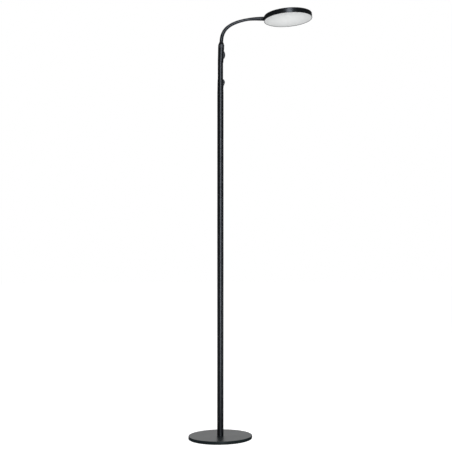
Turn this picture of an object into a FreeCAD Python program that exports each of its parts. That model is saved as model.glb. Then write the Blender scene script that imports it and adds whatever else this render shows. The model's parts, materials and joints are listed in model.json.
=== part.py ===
"""Gooseneck reading floor lamp, modelled piece by piece in millimetres.

The origin is on the floor at the pole's axis, +Z is up and +X points the way
that the lamp head reaches. Every solid is one piece of the real lamp.
"""
import FreeCAD
import Part
import math
import os

Vector = FreeCAD.Vector
UP = Vector(0, 0, 1)
TOWARDS_HEAD = Vector(1, 0, 0)
SIDEWAYS = Vector(0, 1, 0)
ORIGIN = Vector(0, 0, 0)

# ---- Clearances -------------------------------------------------------------
fit_gap = 0.05          # radial play between pieces fixed in each other
running_gap = 0.05      # radial play of a sliding or turning fit
seat_gap = 0.3          # air between pieces of different moving groups
ball_gap = 0.3          # air between a neck ball and its socket
cut_over = 1.0          # how far a cutting tool runs past the face it cuts

# ---- Base -------------------------------------------------------------------
base_radius = 109.0
base_plate_thickness = 9.6
base_edge_round = 1.2
base_pad_thickness = 1.5
base_pad_inset = 2.5
base_stud_radius = 5.0
base_stud_reach = 18.0          # how far the stud stands out of the base
base_stud_head_radius = 9.0
base_stud_head_thickness = 3.0

# ---- Pole -------------------------------------------------------------------
pole_radius = 11.0
pole_wall = 0.8
pole_edge_chamfer = 0.4
lower_pole_length = 337.0
upper_pole_length = 840.9
foot_insert_length = 20.0
joint_flange_thickness = 1.2
joint_groove_depth = 0.5
joint_plug_length = 18.0
joint_thread_radius = 8.0
joint_thread_length = 15.0
joint_insert_length = 20.0
lead_passage_radius = 4.5

# ---- Power inlet ------------------------------------------------------------
jack_height = 38.0              # above the base plate
jack_barrel_radius = 3.9
jack_bore_radius = 3.15
jack_bore_depth = 9.0
jack_flange_radius = 5.6
jack_flange_proud = 1.3
jack_pin_radius = 1.05
jack_pin_length = 8.0
jack_back_wall = 1.2

# ---- Height collar and its release lever ------------------------------------
collar_height = 53.5
collar_foot_lip = 0.1           # how far the collar's foot stands out of the pole
collar_waist_inset = 0.5
collar_waist_share = 0.5
collar_shoulder_wall = 0.85
collar_shoulder_height = 43.0
collar_top_wall = 0.5
collar_top_round = 0.3
collar_skirt_length = 30.0
collar_skirt_wall = 0.7         # fills the space between the pole and the sliding tube
lever_width = 9.8
lever_window_gap = 0.2
lever_window_base = 23.7        # bottom of the window above the collar's foot
lever_window_height = 15.0
lever_back_gap = 1.25           # room behind the lever for its travel
lever_peak_depth = 4.45         # lever's depth at its outermost point
lever_peak_height = 44.0        # all lever heights are above the collar's foot
lever_peak_round = 3.0
lever_top_height = 52.2
lever_top_depth = 1.1
lever_foot_height = 25.0
lever_foot_proud = 0.5
lever_throat_height = 29.6       # where the lever's face leaves the collar's line
lever_bevel = 0.5
lever_step_height = 37.9
lever_step_slope = 2.0
lever_pivot_radius = 0.75
lever_pivot_proud = 1.15        # distance of the pivot from the collar's waist
lever_pivot_height = 35.0
cheek_thickness = 1.8
cheek_inset = 1.4               # how far the cheeks stay behind the lever's face
cheek_foot_drop = 2.0
spring_wire_radius = 0.25
spring_radius = 1.8
spring_turns = 2.5
spring_pitch = 0.75
spring_pocket_radius = 2.6
spring_pocket_depth = 2.4
spring_height = 44.0
shoe_width = 8.0
shoe_height = 5.0
shoe_thickness = 0.8

# ---- Sliding tube -----------------------------------------------------------
inner_tube_wall = 1.0
tube_showing = 60.0             # bare tube between the collar and the switch housing
tube_travel_up = 200.0
glide_flange_height = 12.0
glide_spigot_length = 18.0
glide_spigot_wall = 2.2

# ---- Leads inside the pole --------------------------------------------------
lead_radius = 1.75
coil_radius = 6.0
coil_length = 385.0

# ---- Switch housing, in its own leaning frame --------------------------------
housing_lean = 2.2              # degrees from upright, towards the head
housing_length = 51.5
housing_offset = 0.5            # how far its foot is set towards the head
housing_foot_lip = 0.55         # growth of its foot's radius over the tube's
housing_taper = 0.8             # growth of its radius from foot to top
housing_wall = 1.4
housing_floor = 1.2
housing_overrun = 3.0           # how far the leaning shell is drawn below its foot
housing_spigot_length = 24.0
housing_spigot_wall = 1.6
button_length = 27.0
button_width = 13.0
button_height = 26.6            # centre of the button above the housing's foot
button_proud = 5.4              # how far the crown stands out of the housing's foot
button_crown_drop = 3.9         # how much lower the crown is at its ends
button_window_gap = 0.25
button_flange_margin = 1.2
button_flange_thickness = 1.2
button_back = 4.4               # distance of the button's back from the housing's axis
button_travel = 0.8
board_thickness = 1.4
board_width = 13.0
board_length = 31.0
board_out = -1.4
push_switch_size = 6.0
push_switch_height = 2.9
plunger_radius = 1.6
plunger_depth = 1.0

# ---- Ring and cone that hold the neck ----------------------------------------
ring_height = 10.7
ring_lip = 0.05
ring_spigot_length = 3.0
cone_height = 10.8
cone_foot_inset = 0.65
cone_top_lip = 0.6
neck_thread_radius = 4.6
neck_thread_length = 16.0
neck_nut_across_flats = 13.0
neck_nut_height = 5.0

# ---- Gooseneck ----------------------------------------------------------------
neck_lead_in = 8.0              # from the cone's top to the first bending centre
neck_pitch = 15.0
neck_directions = (85.0, 74.5, 59.9, 45.4, 33.4, 24.9, 18.8, 14.8, 11.0)
neck_foot_radius = 6.4
neck_tip_radius = 4.75
neck_sleeve_wall = 1.15         # at the neck's tip
neck_wire_passage = 1.8
sleeve_foot_trim = 3.0
sleeve_tip_trim = 2.5

# ---- Head stem ----------------------------------------------------------------
stem_lengths = (37.0, 27.1)
stem_directions = (1.0, -0.4)
stem_rim_radius = 7.45
stem_rim_margin = 0.2           # from the flare's top to the head's top
stem_flare_start = 12.0
stem_flare_power = 0.85
stem_stations = 10
stem_spigot_radius = 3.0
stem_spigot_length = 7.0
stem_spigot_past_nut = 1.0
stem_nut_across_flats = 8.0
stem_nut_height = 3.5

# ---- Lamp head, in its own tilted frame ---------------------------------------
head_tilt = 4.5                 # degrees that its far side is raised
head_radius = 85.2
head_height = 18.3
head_top_thickness = 2.0
head_wall = 1.85
head_top_round = 4.5
head_lip_round = 0.4
diffuser_recess = 0.8
diffuser_thickness = 2.0
frame_ledge_width = 6.5
frame_ledge_thickness = 1.5
reflector_wall = 1.3
reflector_height = 5.0
spreader_nut_clearance = 2.0
spreader_thickness = 1.2
led_board_margin = 5.5
led_board_thickness = 1.2
boss_height = 3.0
boss_radius = 3.5
head_screw_count = 6
head_screw_circle = 50.0
head_screw_radius = 1.5
head_screw_head_radius = 2.75
head_screw_head_height = 1.2
led_ring_radii = (20.0, 40.0, 62.0)
led_ring_counts = (8, 14, 22)
led_size = 3.0
led_height = 0.7
board_notch_depth = 8.0
board_notch_width = 6.0
head_lead_radius = 1.1

# ---- Sizes worked out from the driving ones -----------------------------------
base_top = base_pad_thickness + base_plate_thickness
pole_bore = pole_radius - pole_wall
plug_radius = pole_bore - fit_gap
inner_tube_radius = plug_radius - collar_skirt_wall - running_gap
joint_bottom = base_top + lower_pole_length
joint_top = joint_bottom + joint_flange_thickness
pole_top = joint_top + upper_pole_length
collar_top = pole_top + collar_height
housing_foot = collar_top + tube_showing
slide_bore = inner_tube_radius + running_gap
inner_tube_bore = inner_tube_radius - inner_tube_wall
collar_foot_radius = pole_radius + collar_foot_lip
collar_waist_radius = pole_radius - collar_waist_inset
collar_shoulder_radius = slide_bore + collar_shoulder_wall
collar_top_radius = slide_bore + collar_top_wall
glide_top = pole_top - collar_skirt_length - tube_travel_up - seat_gap
glide_bottom = glide_top - glide_flange_height
coil_top = glide_bottom - seat_gap
coil_bottom = coil_top - coil_length
lever_half = lever_width / 2
window_half = lever_half + lever_window_gap
lever_inner_face = collar_waist_radius + lever_back_gap
lever_foot_face = slide_bore + shoe_thickness
lever_peak = lever_inner_face + lever_peak_depth
lever_top_outer = lever_inner_face + lever_top_depth
lever_foot_outer = collar_waist_radius + lever_foot_proud
lever_pivot_out = collar_waist_radius + lever_pivot_proud
housing_foot_radius = inner_tube_radius + housing_foot_lip
housing_top_radius = housing_foot_radius + housing_taper
button_crown = housing_foot_radius + button_proud
ring_radius = housing_top_radius + ring_lip
cone_foot_radius = ring_radius - cone_foot_inset
cone_top_radius = neck_foot_radius + cone_top_lip
neck_core_radius = neck_tip_radius - neck_sleeve_wall
head_stem_height = head_height - stem_rim_margin - stem_rim_radius
head_bore = head_radius - head_wall
ring_foot = housing_length
cone_foot = ring_foot + ring_height
cone_top = cone_foot + cone_height
neck_count = len(neck_directions) - 1
diffuser_top = diffuser_recess + diffuser_thickness
diffuser_radius = head_bore - fit_gap
spreader_radius = head_bore - seat_gap - stem_nut_height - spreader_nut_clearance
led_board_radius = spreader_radius - led_board_margin
spreader_top = head_height - head_top_thickness - boss_height
spreader_bottom = spreader_top - spreader_thickness
led_board_bottom = spreader_bottom - led_board_thickness


# ---- Shape helpers -------------------------------------------------------------
def rod(radius, low, high):
    """Upright round bar about the Z axis, between two heights."""
    return Part.makeCylinder(radius, high - low, Vector(0, 0, low))


def tube(outer, inner, low, high):
    """Upright tube about the Z axis."""
    return rod(outer, low, high).cut(rod(inner, low - cut_over, high + cut_over))


def cross_rod(radius, start, end, direction, x=0.0, y=0.0, z=0.0):
    """Round bar along a direction, between two distances from a point."""
    base = Vector(x, y, z) + direction * start
    return Part.makeCylinder(radius, end - start, base, direction)


def block(x_range, y_range, z_range):
    """Box from its ranges along X, Y and Z."""
    size = [high - low for low, high in (x_range, y_range, z_range)]
    return Part.makeBox(*size, Vector(x_range[0], y_range[0], z_range[0]))


def turned(profile):
    """Solid of revolution about Z from (radius, height) points."""
    points = [Vector(radius, 0, height) for radius, height in profile]
    return Part.Face(Part.makePolygon(points + points[:1])).revolve(ORIGIN, UP, 360)


def flat_prism(outline, half_width):
    """Prism from an (x, z) outline, as wide on both sides of the XZ plane."""
    points = [Vector(x, -half_width, z) for x, z in outline]
    face = Part.Face(Part.makePolygon(points + points[:1]))
    return face.extrude(SIDEWAYS * (2 * half_width))


def slot_prism(length, width, x_low, x_high, height):
    """Bar along X whose section is an upright slot: two half rounds and a web."""
    radius = width / 2
    reach = (length - width) / 2
    bar = block((x_low, x_high), (-radius, radius), (height - reach, height + reach))
    for end in (height - reach, height + reach):
        bar = bar.fuse(cross_rod(radius, x_low, x_high, TOWARDS_HEAD, z=end))
    return bar.removeSplitter()


def hex_prism(across_flats, height, start, direction, side):
    """Hexagonal bar that starts at a point; side points to one of its flats."""
    corner = across_flats / math.sqrt(3)
    points = []
    for step in range(6):
        spin = FreeCAD.Rotation(direction, 30 + 60 * step)
        points.append(start + spin.multVec(side) * corner)
    face = Part.Face(Part.makePolygon(points + points[:1]))
    return face.extrude(direction * height)


def edges_at(shape, height, radius):
    """Circular edges about Z at a height and radius."""
    found = []
    for edge in shape.Edges:
        round_edge = isinstance(edge.Curve, Part.Circle)
        if round_edge and abs(edge.Curve.Radius - radius) < 1e-4:
            if abs(edge.Curve.Center.z - height) < 1e-4:
                found.append(edge)
    return found


def tidy(shape):
    """The same shape with split faces joined."""
    return shape.removeSplitter()


# ---- Frames that lean ------------------------------------------------------------
def leaning_frame():
    """Placement of the switch housing: its foot is on the sliding tube's end."""
    spin = FreeCAD.Rotation(SIDEWAYS, housing_lean)
    return FreeCAD.Placement(Vector(housing_offset, 0, housing_foot), spin)


def in_housing(shape):
    """Move a shape from the housing's own frame into the lamp."""
    moved = shape.copy()
    moved.transformShape(leaning_frame().toMatrix())
    return moved


def direction_of(angle):
    """Unit vector in the XZ plane at an angle above +X, in degrees."""
    return Vector(math.cos(math.radians(angle)), 0, math.sin(math.radians(angle)))


def walk(point, start_angle, end_angle, length):
    """Point at the end of one arc of the neck's centreline."""
    turn = math.radians(start_angle - end_angle)
    chord = length * math.sin(turn / 2) / (turn / 2)
    return point + direction_of((start_angle + end_angle) / 2) * chord


def neck_start():
    """Point where the neck leaves its cone, on the housing's axis."""
    return leaning_frame().multVec(Vector(0, 0, cone_top))


def bend_centres():
    """Bending centres of the neck, from the cone to the head stem."""
    point = walk(neck_start(), 90 - housing_lean, neck_directions[0], neck_lead_in)
    centres = [point]
    for start_angle, end_angle in zip(neck_directions, neck_directions[1:]):
        point = walk(point, start_angle, end_angle, neck_pitch)
        centres.append(point)
    return centres


def neck_radius(index):
    """Outer radius of the neck at a bending centre, counted from 0."""
    share = index / neck_count
    return neck_foot_radius + (neck_tip_radius - neck_foot_radius) * share


def arc_rod(point, start_angle, end_angle, length, radius, low=0.0, high=None):
    """Round bar that follows one arc of the centreline, between two distances."""
    high = length if high is None else high
    turn = math.radians(start_angle - end_angle)
    bend_radius = length / turn
    centre = point + direction_of(start_angle - 90) * bend_radius
    rate = (start_angle - end_angle) / length
    first = FreeCAD.Rotation(SIDEWAYS, rate * low)
    ring_point = centre + first.multVec(point - centre)
    ring = Part.Circle(ring_point, direction_of(start_angle - rate * low), radius)
    face = Part.Face(Part.Wire(ring.toShape()))
    return face.revolve(centre, SIDEWAYS, rate * (high - low))


# ---- Base ------------------------------------------------------------------------
def base_plate():
    """Heavy steel disc with a stepped hole for the stud."""
    plate = rod(base_radius, base_pad_thickness, base_top)
    plate = plate.makeFillet(base_edge_round, edges_at(plate, base_top, base_radius))
    foot = edges_at(plate, base_pad_thickness, base_radius)
    plate = plate.makeChamfer(base_edge_round / 2, foot)
    hole = rod(base_stud_radius + fit_gap, 0, base_top + cut_over)
    head_top = base_pad_thickness + base_stud_head_thickness
    recess = rod(base_stud_head_radius + fit_gap, 0, head_top)
    return plate.cut(hole).cut(recess)


def base_pad():
    """Soft disc under the base that meets the floor."""
    return rod(base_radius - base_pad_inset, 0, base_pad_thickness)


def base_stud():
    """Flanged threaded stud, let in from below, that the pole screws on to."""
    low = base_pad_thickness
    head = rod(base_stud_head_radius, low, low + base_stud_head_thickness)
    return tidy(head.fuse(rod(base_stud_radius, low, base_top + base_stud_reach)))


def foot_insert():
    """Threaded plug fixed in the foot of the lower pole section."""
    return tube(plug_radius, base_stud_radius + fit_gap, base_top, base_top + foot_insert_length)


# ---- Pole ------------------------------------------------------------------------
def pole_section(low, high, chamfered_ends):
    """Tube of the pole with its outer edge broken at the ends that are named."""
    section = tube(pole_radius, pole_bore, low, high)
    for end in chamfered_ends:
        section = section.makeChamfer(pole_edge_chamfer, edges_at(section, end, pole_radius))
    return section


def lower_pole():
    """Lower section, with the hole for the power inlet at its back."""
    section = pole_section(base_top, joint_bottom, (joint_bottom,))
    hole = cross_rod(jack_barrel_radius + fit_gap, 0, 2 * pole_radius, SIDEWAYS,
                     z=base_top + jack_height)
    return section.cut(hole)


def upper_pole():
    """Upper section, between the screwed joint and the height collar."""
    return pole_section(joint_top, pole_top, (joint_top,))


def joint_insert():
    """Female half of the screwed joint, fixed in the lower section's end."""
    low = joint_bottom - joint_insert_length
    body = tube(plug_radius, lead_passage_radius, low, joint_bottom)
    thread_low = joint_bottom - joint_thread_length - seat_gap
    return body.cut(rod(joint_thread_radius + fit_gap, thread_low, joint_bottom + cut_over))


def joint_stud():
    """Male half of the screwed joint; its flange shows as the seam of the pole."""
    flange = rod(pole_radius - joint_groove_depth, joint_bottom, joint_top)
    thread = rod(joint_thread_radius, joint_bottom - joint_thread_length, joint_bottom)
    plug = rod(plug_radius, joint_top, joint_top + joint_plug_length)
    passage = rod(lead_passage_radius, joint_bottom - joint_thread_length - cut_over,
                  joint_top + joint_plug_length + cut_over)
    return tidy(flange.fuse(thread).fuse(plug)).cut(passage)


# ---- Power inlet --------------------------------------------------------------------
def jack_front():
    """Distance of the inlet's mouth from the pole's axis."""
    return pole_radius + jack_flange_proud


def power_jack():
    """Round power socket let into the back of the pole."""
    height = base_top + jack_height
    back = jack_front() - jack_bore_depth - jack_back_wall
    flange = cross_rod(jack_flange_radius, pole_bore, jack_front(), SIDEWAYS, z=height)
    flange = flange.cut(rod(pole_radius + fit_gap, 0, pole_top))
    barrel = cross_rod(jack_barrel_radius, back, jack_front(), SIDEWAYS, z=height)
    bore = cross_rod(jack_bore_radius, jack_front() - jack_bore_depth,
                     jack_front() + cut_over, SIDEWAYS, z=height)
    return tidy(flange.fuse(barrel)).cut(bore)


def jack_pin():
    """Centre contact of the power socket."""
    floor = jack_front() - jack_bore_depth
    return cross_rod(jack_pin_radius, floor, floor + jack_pin_length, SIDEWAYS,
                     z=base_top + jack_height)


# ---- Height collar and release lever --------------------------------------------------
def lever_outline():
    """Wedge outline of the release lever, as (x, z) points."""
    return [
        (lever_inner_face, pole_top + lever_top_height - lever_bevel),
        (lever_top_outer, pole_top + lever_top_height),
        (lever_peak, pole_top + lever_peak_height),
        (lever_foot_outer, pole_top + lever_throat_height),
        (lever_foot_outer, pole_top + lever_foot_height),
        (lever_foot_face, pole_top + lever_foot_height - lever_bevel),
        (lever_foot_face, pole_top + lever_step_height - lever_step_slope),
        (lever_inner_face, pole_top + lever_step_height),
    ]


def cheek_outline():
    """Outline of the two cheeks beside the lever, as (x, z) points."""
    inside = inner_tube_radius / 2
    small_inset = cheek_inset / 2
    return [
        (inside, pole_top + lever_window_base - cheek_foot_drop),
        (lever_foot_outer - small_inset, pole_top + lever_window_base),
        (lever_foot_outer - small_inset, pole_top + lever_throat_height),
        (lever_peak - cheek_inset, pole_top + lever_peak_height - cheek_inset),
        (lever_top_outer - small_inset, pole_top + lever_top_height - small_inset),
        (inside, pole_top + collar_height - collar_top_round),
    ]


def collar_profile():
    """Outer profile of the collar, as (radius, height above its foot) points."""
    return [
        (collar_foot_radius, 0.0),
        (collar_waist_radius, collar_height * collar_waist_share),
        (collar_shoulder_radius, collar_shoulder_height),
        (collar_top_radius, collar_height - collar_top_round),
    ]


def collar_radius(height):
    """Outer radius of the collar at a height above its foot."""
    profile = collar_profile()
    for (radius, low), (next_radius, high) in zip(profile, profile[1:]):
        if height <= high:
            return radius + (next_radius - radius) * (height - low) / (high - low)
    return collar_top_radius


def height_collar():
    """Tapered collar with a guide skirt, a window and two cheeks for the lever."""
    skirt_low = pole_top - collar_skirt_length
    outside = [(radius, pole_top + height) for radius, height in collar_profile()]
    body = turned([
        (slide_bore, skirt_low),
        (plug_radius, skirt_low),
        (plug_radius, pole_top),
        *outside,
        (collar_top_radius - collar_top_round, collar_top),
        (slide_bore, collar_top),
    ])
    cheeks = flat_prism(cheek_outline(), window_half + cheek_thickness)
    slot = flat_prism(cheek_outline(), window_half)
    body = body.fuse(cheeks.cut(slot))
    window_low = pole_top + lever_window_base
    window = block((0, 2 * pole_radius), (-window_half, window_half),
                   (window_low, window_low + lever_window_height))
    body = body.cut(window).cut(rod(slide_bore, skirt_low - cut_over, collar_top + cut_over))
    return tidy(body.cut(pivot_hole(lever_pivot_radius + fit_gap)))


def pivot_hole(radius):
    """Round bar along the lever's pivot, as wide as the cheeks and more."""
    reach = window_half + cheek_thickness + cut_over
    return cross_rod(radius, -reach, reach, SIDEWAYS, x=lever_pivot_out,
                     z=pole_top + lever_pivot_height)


def release_lever():
    """Rocking wedge that is pressed to free the sliding tube."""
    wedge = flat_prism(lever_outline(), lever_half)
    wedge = wedge.makeFillet(lever_peak_round, upright_ridge(wedge))
    pocket = cross_rod(spring_pocket_radius, lever_inner_face - cut_over,
                       lever_inner_face + spring_pocket_depth, TOWARDS_HEAD,
                       z=pole_top + spring_height)
    return wedge.cut(pocket).cut(pivot_hole(lever_pivot_radius + running_gap))


def upright_ridge(wedge):
    """The lever's outermost edge."""
    ridge = []
    for edge in wedge.Edges:
        middle = edge.BoundBox.Center
        at_peak = abs(middle.x - lever_peak) < 1e-4
        if at_peak and abs(middle.z - pole_top - lever_peak_height) < 1e-4:
            ridge.append(edge)
    return ridge


def lever_pin():
    """Pivot pin held in the collar's two cheeks."""
    reach = window_half + cheek_thickness
    return cross_rod(lever_pivot_radius, -reach, reach, SIDEWAYS, x=lever_pivot_out,
                     z=pole_top + lever_pivot_height)


def lever_spring():
    """Short coil spring behind the lever, drawn as it is when the lever is pressed."""
    helix = Part.makeHelix(spring_pitch, spring_pitch * spring_turns, spring_radius)
    start = Part.Circle(Vector(spring_radius, 0, 0), SIDEWAYS, spring_wire_radius)
    coil = Part.Wire(helix).makePipeShell([Part.Wire(start.toShape())], True, True)
    seat = collar_radius(spring_height) + spring_wire_radius + fit_gap
    spin = FreeCAD.Rotation(SIDEWAYS, 90)
    place = FreeCAD.Placement(Vector(seat, 0, pole_top + spring_height), spin)
    coil.transformShape(place.toMatrix())
    return coil


def brake_shoe():
    """Pad on the lever's foot that grips the sliding tube."""
    low = pole_top + lever_foot_height
    half = shoe_width / 2
    pad = block((inner_tube_radius / 2, lever_foot_face), (-half, half), (low, low + shoe_height))
    return pad.cut(rod(slide_bore, low - cut_over, low + shoe_height + cut_over))


# ---- Sliding tube ----------------------------------------------------------------------
def inner_tube():
    """Thinner tube that slides and turns in the pole."""
    return tube(inner_tube_radius, inner_tube_bore, glide_top + seat_gap, housing_foot)


def tube_glide():
    """Guide bush that runs in the pole under the sliding tube."""
    flange = rod(pole_bore - running_gap, glide_bottom, glide_top)
    spigot_radius = inner_tube_bore - running_gap
    spigot = rod(spigot_radius, glide_top, glide_top + glide_spigot_length)
    hole = rod(spigot_radius - glide_spigot_wall, glide_bottom - cut_over,
               glide_top + glide_spigot_length + cut_over)
    return tidy(flange.fuse(spigot)).cut(hole)


def lower_lead():
    """Two-core lead from the power inlet up to the coiled lead."""
    return rod(lead_radius, base_top + jack_height - jack_barrel_radius, coil_bottom)


def coil_lead():
    """Outer shape of the coiled lead that stretches with the sliding tube."""
    return rod(coil_radius, coil_bottom, coil_top)


def upper_lead():
    """Lead from the coil up the sliding tube to the switch board."""
    return rod(lead_radius, coil_top, housing_foot + board_foot() - seat_gap)


# ---- Switch housing ------------------------------------------------------------------------
def housing_radius(height):
    """Outer radius of the housing at a height above its foot."""
    share = height / housing_length
    return housing_foot_radius + (housing_top_radius - housing_foot_radius) * share


def board_foot():
    """Height of the switch board's lower edge above the housing's foot."""
    return button_height - board_length / 2


def switch_housing():
    """Leaning moulded housing with a window for the button and a spigot below."""
    under = -housing_overrun
    shell = turned([
        (0, under),
        (housing_radius(under), under),
        (housing_top_radius, housing_length),
        (0, housing_length),
    ])
    cavity = turned([
        (0, under * 2),
        (housing_radius(under) - housing_wall, under * 2),
        (housing_top_radius - housing_wall, housing_length + cut_over),
        (0, housing_length + cut_over),
    ])
    shell = in_housing(shell).cut(rod(base_radius, housing_foot - housing_length, housing_foot))
    spigot_radius = inner_tube_bore - fit_gap
    spigot = rod(spigot_radius, housing_foot - housing_spigot_length, housing_foot)
    bore = rod(spigot_radius - housing_spigot_wall,
               housing_foot - housing_spigot_length - cut_over, housing_foot)
    floor_top = housing_foot + housing_floor
    cavity = in_housing(cavity).cut(rod(base_radius, 0, floor_top))
    floor_hole = rod(spigot_radius - housing_spigot_wall, housing_foot - cut_over,
                     floor_top + cut_over)
    body = shell.fuse(spigot).cut(bore).cut(cavity).cut(floor_hole)
    window = slot_prism(button_length + 2 * button_window_gap,
                        button_width + 2 * button_window_gap,
                        0, 2 * pole_radius, button_height)
    return tidy(body.cut(in_housing(window)))


def dimmer_button():
    """Domed oval push button with a flange that keeps it in its window."""
    half = button_length / 2
    drop_end = button_crown - button_crown_drop
    low = button_height - half
    high = button_height + half
    dome = Part.Arc(Vector(drop_end, 0, low), Vector(button_crown, 0, button_height),
                    Vector(drop_end, 0, high)).toShape()
    sides = [Vector(drop_end, 0, high), Vector(0, 0, high), Vector(0, 0, low), Vector(drop_end, 0, low)]
    outline = Part.Wire([dome] + Part.makePolygon(sides).Edges)
    barrel = Part.Face(outline).revolve(ORIGIN, UP, 360)
    cap = slot_prism(button_length, button_width, button_back, button_crown, button_height)
    flange_low = low - button_flange_margin
    flange_high = high + button_flange_margin
    flange_outer = housing_radius(flange_low) - housing_wall - seat_gap
    flange = slot_prism(button_length + 2 * button_flange_margin,
                        button_width + 2 * button_flange_margin,
                        0, flange_outer, button_height)
    shell = tube(flange_outer, flange_outer - button_flange_thickness, flange_low, flange_high)
    return in_housing(tidy(cap.common(barrel).fuse(flange.common(shell))))


def switch_board():
    """Small circuit board that carries the push switch and the dimmer."""
    half = board_width / 2
    low = board_foot()
    plate = block((board_out, board_out + board_thickness), (-half, half), (low, low + board_length))
    return in_housing(plate)


def push_switch():
    """Body of the push switch, with a well for the button's plunger."""
    half = push_switch_size / 2
    back = board_out + board_thickness
    body = block((back, back + push_switch_height), (-half, half),
                 (button_height - half, button_height + half))
    well = cross_rod(plunger_radius + running_gap, plunger_bottom() - button_travel - seat_gap,
                     button_back, TOWARDS_HEAD, z=button_height)
    return in_housing(body.cut(well))


def plunger_bottom():
    """Distance from the housing's axis to the plunger's tip."""
    return board_out + board_thickness + push_switch_height - plunger_depth


def switch_plunger():
    """Plunger that carries the button's travel into the switch."""
    bar = cross_rod(plunger_radius, plunger_bottom(), button_back, TOWARDS_HEAD,
                    z=button_height)
    return in_housing(bar)


# ---- Ring, cone and root of the neck ----------------------------------------------------------
def neck_ring():
    """Plain ring that closes the housing and carries the cone."""
    body = rod(ring_radius, ring_foot, cone_foot)
    spigot_low = ring_foot - ring_spigot_length
    spigot = rod(housing_radius(spigot_low) - housing_wall - fit_gap, spigot_low, ring_foot)
    hole = rod(neck_thread_radius + fit_gap, spigot_low - cut_over, cone_foot + cut_over)
    return in_housing(tidy(body.fuse(spigot)).cut(hole))


def neck_cone():
    """Conical ferrule between the ring and the neck."""
    outer = turned([
        (0, cone_foot),
        (cone_foot_radius, cone_foot),
        (cone_top_radius, cone_top),
        (0, cone_top),
    ])
    hole = rod(neck_foot_radius + fit_gap, cone_foot - cut_over, cone_top + cut_over)
    return in_housing(outer.cut(hole))


def neck_root():
    """Fixed lower end of the neck: a threaded shank, a collar and the first ball."""
    centre = bend_centres()[0]
    shank = rod(neck_thread_radius, cone_foot - neck_thread_length, cone_foot)
    body = in_housing(tidy(shank.fuse(rod(neck_foot_radius, cone_foot, cone_top))))
    start_angle = 90 - housing_lean
    stretch = arc_rod(neck_start(), start_angle, neck_directions[0], neck_lead_in, neck_foot_radius)
    ball = Part.makeSphere(neck_radius(0), centre)
    passage = in_housing(rod(neck_wire_passage, cone_foot - neck_thread_length - cut_over, cone_top))
    bend = arc_rod(neck_start(), start_angle, neck_directions[0], neck_lead_in, neck_wire_passage)
    tip = Part.makeCylinder(neck_wire_passage, 2 * neck_foot_radius, centre,
                            direction_of(neck_directions[0]))
    return tidy(body.fuse(stretch).fuse(ball)).cut(passage).cut(bend).cut(tip)


def neck_nut():
    """Nut that clamps the neck's shank under the ring."""
    high = ring_foot - ring_spigot_length
    nut = hex_prism(neck_nut_across_flats, neck_nut_height,
                    Vector(0, 0, high - neck_nut_height), UP, SIDEWAYS)
    return in_housing(nut.cut(rod(neck_thread_radius + fit_gap, 0, high + cut_over)))


# ---- Gooseneck links ----------------------------------------------------------------------------
def neck_core(index):
    """Core of one neck link: a socket below, a ball on top and a way for the lead."""
    centres = bend_centres()
    low, high = centres[index], centres[index + 1]
    arc = (low, neck_directions[index], neck_directions[index + 1], neck_pitch)
    body = arc_rod(*arc, neck_core_radius)
    body = body.cut(Part.makeSphere(neck_radius(index) + ball_gap, low))
    body = body.fuse(Part.makeSphere(neck_radius(index + 1), high))
    exit_way = Part.makeCylinder(neck_wire_passage, 2 * neck_foot_radius, high,
                                 direction_of(neck_directions[index + 1]))
    return tidy(body).cut(arc_rod(*arc, neck_wire_passage)).cut(exit_way)


def neck_sleeve(index):
    """Outer sleeve of one neck link, clear of the balls at both its ends."""
    centres = bend_centres()
    low, high = centres[index], centres[index + 1]
    arc = (low, neck_directions[index], neck_directions[index + 1], neck_pitch)
    span = (sleeve_foot_trim, neck_pitch - sleeve_tip_trim)
    outer = (neck_radius(index) + neck_radius(index + 1)) / 2
    body = arc_rod(*arc, outer, *span).cut(arc_rod(*arc, neck_core_radius + fit_gap))
    body = body.cut(Part.makeSphere(neck_radius(index) + ball_gap, low))
    return body.cut(Part.makeSphere(neck_radius(index + 1) + fit_gap, high))


# ---- Head stem -----------------------------------------------------------------------------------
def stem_arcs():
    """The stem's two arcs, as (start point, start angle, end angle, length)."""
    arcs = []
    point = bend_centres()[-1]
    angle = neck_directions[-1]
    for length, end_angle in zip(stem_lengths, stem_directions):
        arcs.append((point, angle, end_angle, length))
        point = walk(point, angle, end_angle, length)
        angle = end_angle
    return arcs


def stem_point(distance):
    """Point and direction on the stem's centreline, by distance from its socket."""
    for point, start_angle, end_angle, length in stem_arcs():
        if distance <= length:
            angle = start_angle + (end_angle - start_angle) * distance / length
            return walk(point, start_angle, angle, max(distance, 1e-6)), angle
        distance -= length
    return walk(point, start_angle, end_angle, length) + direction_of(end_angle) * distance, end_angle


def stem_end():
    """Point where the stem's centreline meets the head's rim."""
    return stem_point(sum(stem_lengths))[0]


def stem_radius(distance):
    """Radius of the stem, which flares towards the head."""
    length = sum(stem_lengths)
    share = max(0.0, (distance - stem_flare_start) / (length - stem_flare_start))
    return neck_tip_radius + (stem_rim_radius - neck_tip_radius) * share ** stem_flare_power


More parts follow.
